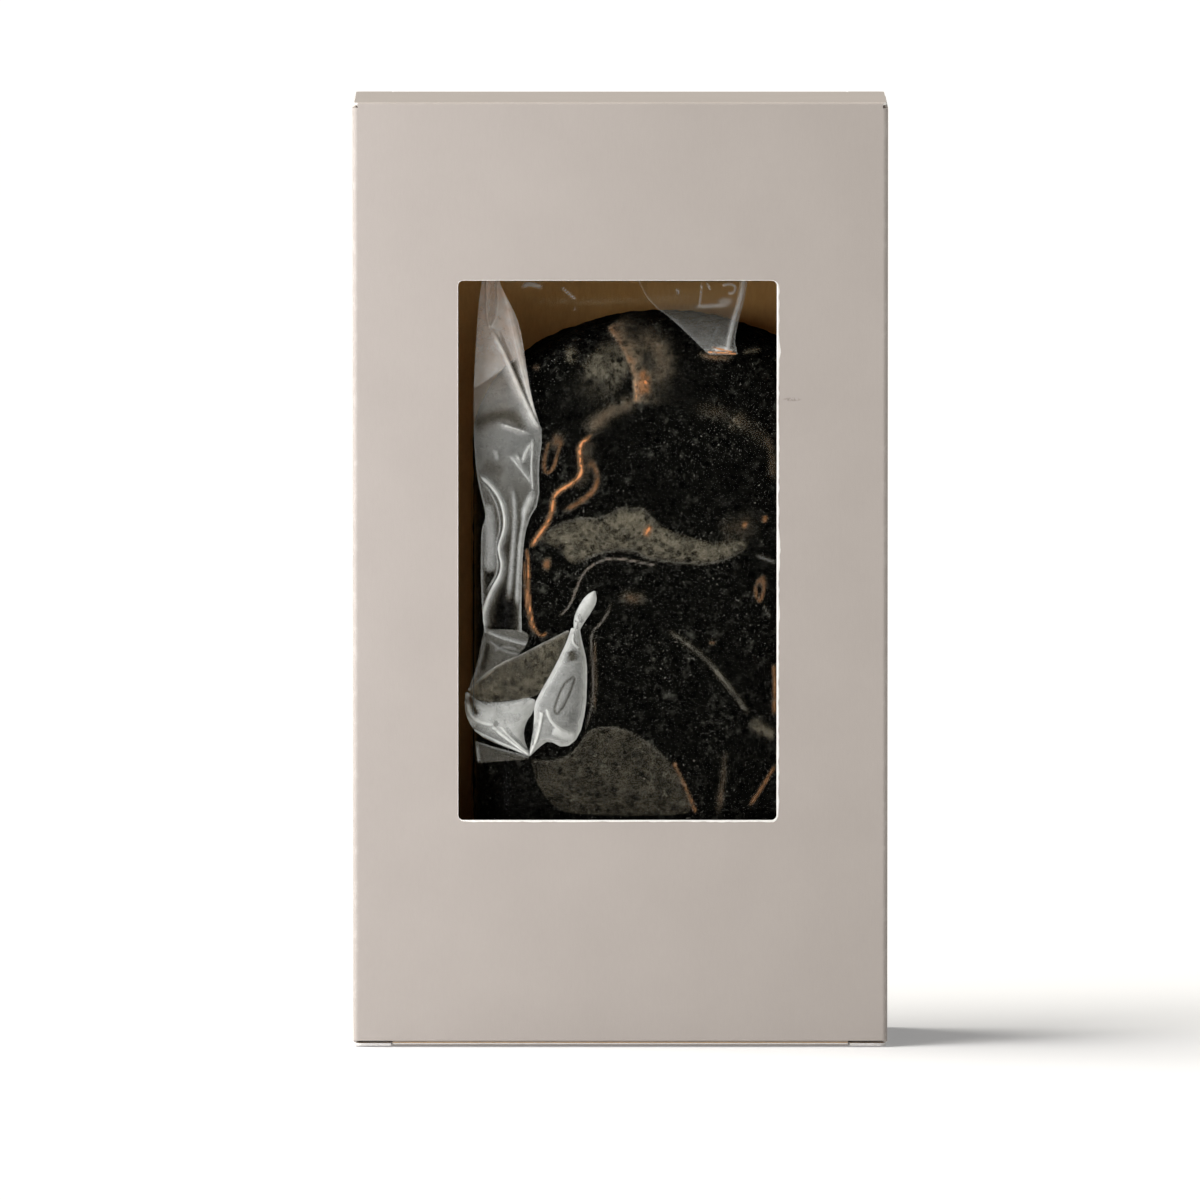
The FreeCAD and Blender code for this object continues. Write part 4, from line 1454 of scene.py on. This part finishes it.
# The skin's creases: the patches' edges, lines, painted grey reflections and the painted amber reflections.
SKIN_CREASES = (
    Crease(MIDDLE_PATCH[:10], 0.16, 0.05, 0.07),
    Crease(MIDDLE_PATCH[14:23], 0.16, 0.05, 0.08),
    Crease((FOOT_PATCH[0], *FOOT_PATCH[:7:-1]), 0.16, 0.05, 0.06),
    Crease(((42.6, 83.2), (45.4, 82.4), (49.0, 82.5)), 0.45, 0.1, 0.0, 0.14, 0.05, taper=0.2),
    Crease(((50.4, 83.4), (54.0, 83.8)), 0.3, 0.1, 0.0, 0.0, 0.12, taper=0.2),
    Crease(((18.0, 36.4), (19.9, 38.1), (21.1, 41.5), (22.3, 44.2), (24.4, 45.9), (26.8, 46.7), (28.7, 46.7),
        (35.4, 45.4)), 0.13, 0.12, 0.2, 0.1, taper=0.05),
    Crease(((27.4, 38.9), (26.0, 35.6), (23.5, 33.4), (23.9, 28.9), (24.1, 25.0), (23.9, 20.4), (22.7, 16.1)), 0.18,
        0.12, 0.13, 0.05),
    Crease(((24.2, 33.0), (24.5, 28.0), (24.6, 24.0), (24.2, 19.0)), 0.16, 0.08, 0.0, 0.12),
    Crease(((37.3, 33.8), (40.5, 31.7), (43.6, 29.3), (46.3, 26.2), (49.1, 22.7), (51.8, 18.8)), 0.36, 0.2, 0.05,
        0.0, 0.08),
    Crease(((52.2, 18.0), (53.4, 16.4), (56.5, 15.0)), 0.9, 0.2, 0.0, 0.0, 0.1),
    Crease(((53.0, 47.3), (56.5, 45.9)), 0.25, 0.1, 0.16),
    Crease(((54.2, 38.4), (55.6, 36.0)), 0.16, 0.1, 0.14),
    Crease(((26.7, 88.0), (29.2, 84.4), (31.0, 80.6), (31.7, 77.0), (31.4, 74.2)), 0.3, 0.25, 0.0, 0.15, 0.26,
        soft=1.5, taper=0.05),
    Crease(((32.2, 80.8), (33.3, 78.2), (32.9, 75.0)), 1.0, 0.2, 0.0, 0.3, 0.18, taper=0.3),
    Crease(((31.0, 87.6), (35.6, 84.6), (36.6, 80.4), (34.6, 76.4)), 1.9, 0.2, 0.0, 0.05, 0.07, taper=0.3),
    Crease(((23.4, 83.6), (26.6, 80.6), (30.0, 77.8)), 4.2, 0.2, 0.0, 0.0, 0.13, taper=0.3),
    Crease(((32.0, 75.0), (27.4, 73.0), (24.0, 70.4), (22.4, 69.2)), 1.2, 0.2, 0.0, 0.06, 0.06, taper=0.2),
    Crease(((24.0, 68.8), (21.5, 67.0), (21.7, 64.2), (22.1, 61.9), (20.5, 60.1), (17.0, 58.2), (16.8, 55.6),
        (16.2, 53.3), (14.3, 50.9), (12.9, 48.6)), 0.34, 0.15, 0.0, 0.78, taper=0.06),
    Crease(((12.2, 48.5), (12.6, 44.6), (12.5, 40.7), (12.9, 36.8), (13.6, 33.8), (15.1, 32.7), (15.8, 33.6)), 0.2,
        0.15, 0.0, 0.62, taper=0.03),
    Crease(((23.3, 64.8), (24.8, 61.9), (24.6, 59.1), (22.1, 57.0), (18.6, 55.0)), 0.4, 0.15, 0.0, 0.34, taper=0.2),
    Crease(((18.8, 83.4), (20.6, 83.2), (20.0, 81.2)), 0.8, 0.1, 0.0, 0.0, 0.1, taper=0.2),
    Crease(((41.0, 73.6), (47.7, 72.6), (53.1, 69.3), (55.7, 65.0)), 1.2, 0.2, 0.0, 0.035, taper=0.2),
    Crease(((48.6, 71.6), (50.4, 70.6)), 1.4, 0.1, 0.0, 0.0, 0.08, taper=0.3),
    Crease(((11.2, 93.9), (12.4, 94.9), (15.2, 94.2)), 0.35, 0.3, 0.9, taper=0.2),
    Crease(((18.4, 94.3), (20.9, 92.3)), 0.18, 0.15, 0.7),
    Crease(((38.8, 94.4), (39.4, 93.2)), 0.25, 0.15, 0.6, taper=0.3),
    Crease(((20.8, 91.0), (20.9, 90.2)), 0.2, 0.1, 0.25, taper=0.3),
    Crease(((12.0, 91.8), (28.0, 92.0), (44.0, 93.2)), 0.5, 0.2, 0.0, 0.0, 0.1),
    *(Crease(path, width, lift=0.1, amber_reflection=amber_reflection, taper=taper) for amber_reflection, width, taper, path in AMBER_REFLECTIONS),
)


@dataclass
class Studio:
    """The pale floor, the soft lights and the camera. Sizes are in metres."""

    aim: tuple[float, float, float] = (-0.0036, -0.019, 0.0796)
    reach: float = 4.0
    elevation: float = 4.4
    view_width: float = 0.2131
    sensor: float = 36.0
    floor_half: float = 14.0
    floor_drop: float = 0.0002
    floor_light: float = 0.2
    sky: float = 0.14

    def floor(self) -> None:
        """A wide pale floor under the carton, with a little light of its own."""
        half = self.floor_half
        points = np.array([(-half, -half, 0.0), (half, -half, 0.0), (half, half, 0.0), (-half, half, 0.0)])
        piece = new_piece("floor", points, np.arange(4).reshape(1, 4))
        piece.location.z = -self.floor_drop
        material, tree, shader = new_material("pale_floor", Roughness=0.8, Specular_IOR_Level=0.1)
        shade = tree.mix(tree.noise(tree.place(), 3.0), (0.69, 0.69, 0.69), (0.71, 0.71, 0.71))
        tree.fill(shader, Base_Color=shade, Emission_Color=(1.0, 1.0, 1.0), Emission_Strength=self.floor_light)
        piece.data.materials.append(material)

    def lights(self) -> None:
        """A faint sky, a broad high key from the left and two soft boxes for the film's highlights."""
        world = bpy.data.worlds.new("studio")
        bpy.context.scene.world = world
        world.use_nodes = True
        tree = Tree(world.node_tree)
        seen = tree.add("ShaderNodeLightPath").outputs["Is Camera Ray"]
        strength = tree.ramp(seen, 0.0, 1.0, (self.sky, 1.0))
        tree.fill(world.node_tree.nodes["Background"], Color=(1.0, 0.99, 0.97), Strength=strength)
        key = self.lamp("sky_key", "SUN", Vector((-0.75, -0.06, 1.0)), 4.5, (1.0, 0.975, 0.925))
        key.data.angle = math.radians(56.0)
        for name, place, size, power, colour in (
            ("left_window", (-0.17, -0.13, 0.11), (0.08, 0.30), 0.34, (0.995, 0.99, 1.05)),
            ("front_window", (-1.05, -2.30, 0.24), (1.7, 0.46), 8.2, (1.0, 0.98, 0.955)),
        ):
            box = self.lamp(name, "AREA", Vector(place) - Vector(self.aim), power, colour)
            box.data.shape = "RECTANGLE"
            box.data.size, box.data.size_y = size
            box.location = place
            box.visible_camera = False

    @staticmethod
    def lamp(name: str, kind: str, toward: Vector, power: float, colour: Colour) -> Object:
        """One light.

        Args:
            name: its name.
            kind: Blender's name for its kind.
            toward: the direction that its light comes from.
            power: its strength, in watts for a soft box.
            colour: its colour.

        Returns:
            The light.
        """
        light = bpy.data.lights.new(name, kind)
        light.energy = power
        light.color = colour
        item = new_object(name, light)
        item.rotation_euler = toward.to_track_quat("Z", "Y").to_euler()
        return item

    def camera(self) -> None:
        """A long lens square to the front, a little above it."""
        lens = bpy.data.cameras.new("view")
        lens.sensor_width = self.sensor
        lens.lens = self.sensor * self.reach / self.view_width
        lens.clip_end = 60.0
        tilt = math.radians(self.elevation)
        back = Vector((0.0, -math.cos(tilt), math.sin(tilt)))
        item = new_object("view", lens)
        item.location = Vector(self.aim) + back * self.reach
        item.rotation_euler = back.to_track_quat("Z", "Y").to_euler()
        bpy.context.scene.camera = item

    def set_up(self) -> None:
        """Puts up floor, lights and camera, and a plain colour response."""
        self.floor()
        self.lights()
        self.camera()
        scene = bpy.context.scene
        scene.view_settings.view_transform = "Standard"
        scene.view_settings.look = "None"
        scene.cycles.use_denoising = True


def main() -> None:
    """Builds and dresses the pieces in order."""
    logging.basicConfig(level=logging.INFO, format="%(message)s")
    pores = pore_group()
    window = Window()
    carton = Carton()
    carton.dress()
    carton.window_edge(window)
    form = SpongeForm()
    Sponge(form).build(SpongeFinish().material(pores))
    bag = FilmBag(form, window, FilmFinish().material(pores))
    bag.skin()
    bag.flaps()
    bag.mouth_fold()
    bag.weld("bottom_weld", "bag_bottom_seal", (72.0, 11.0))
    bag.weld("back_lap", "bag_back_seam", (12.0, 97.6))
    Studio().set_up()


if __name__ == "__main__":
    main()
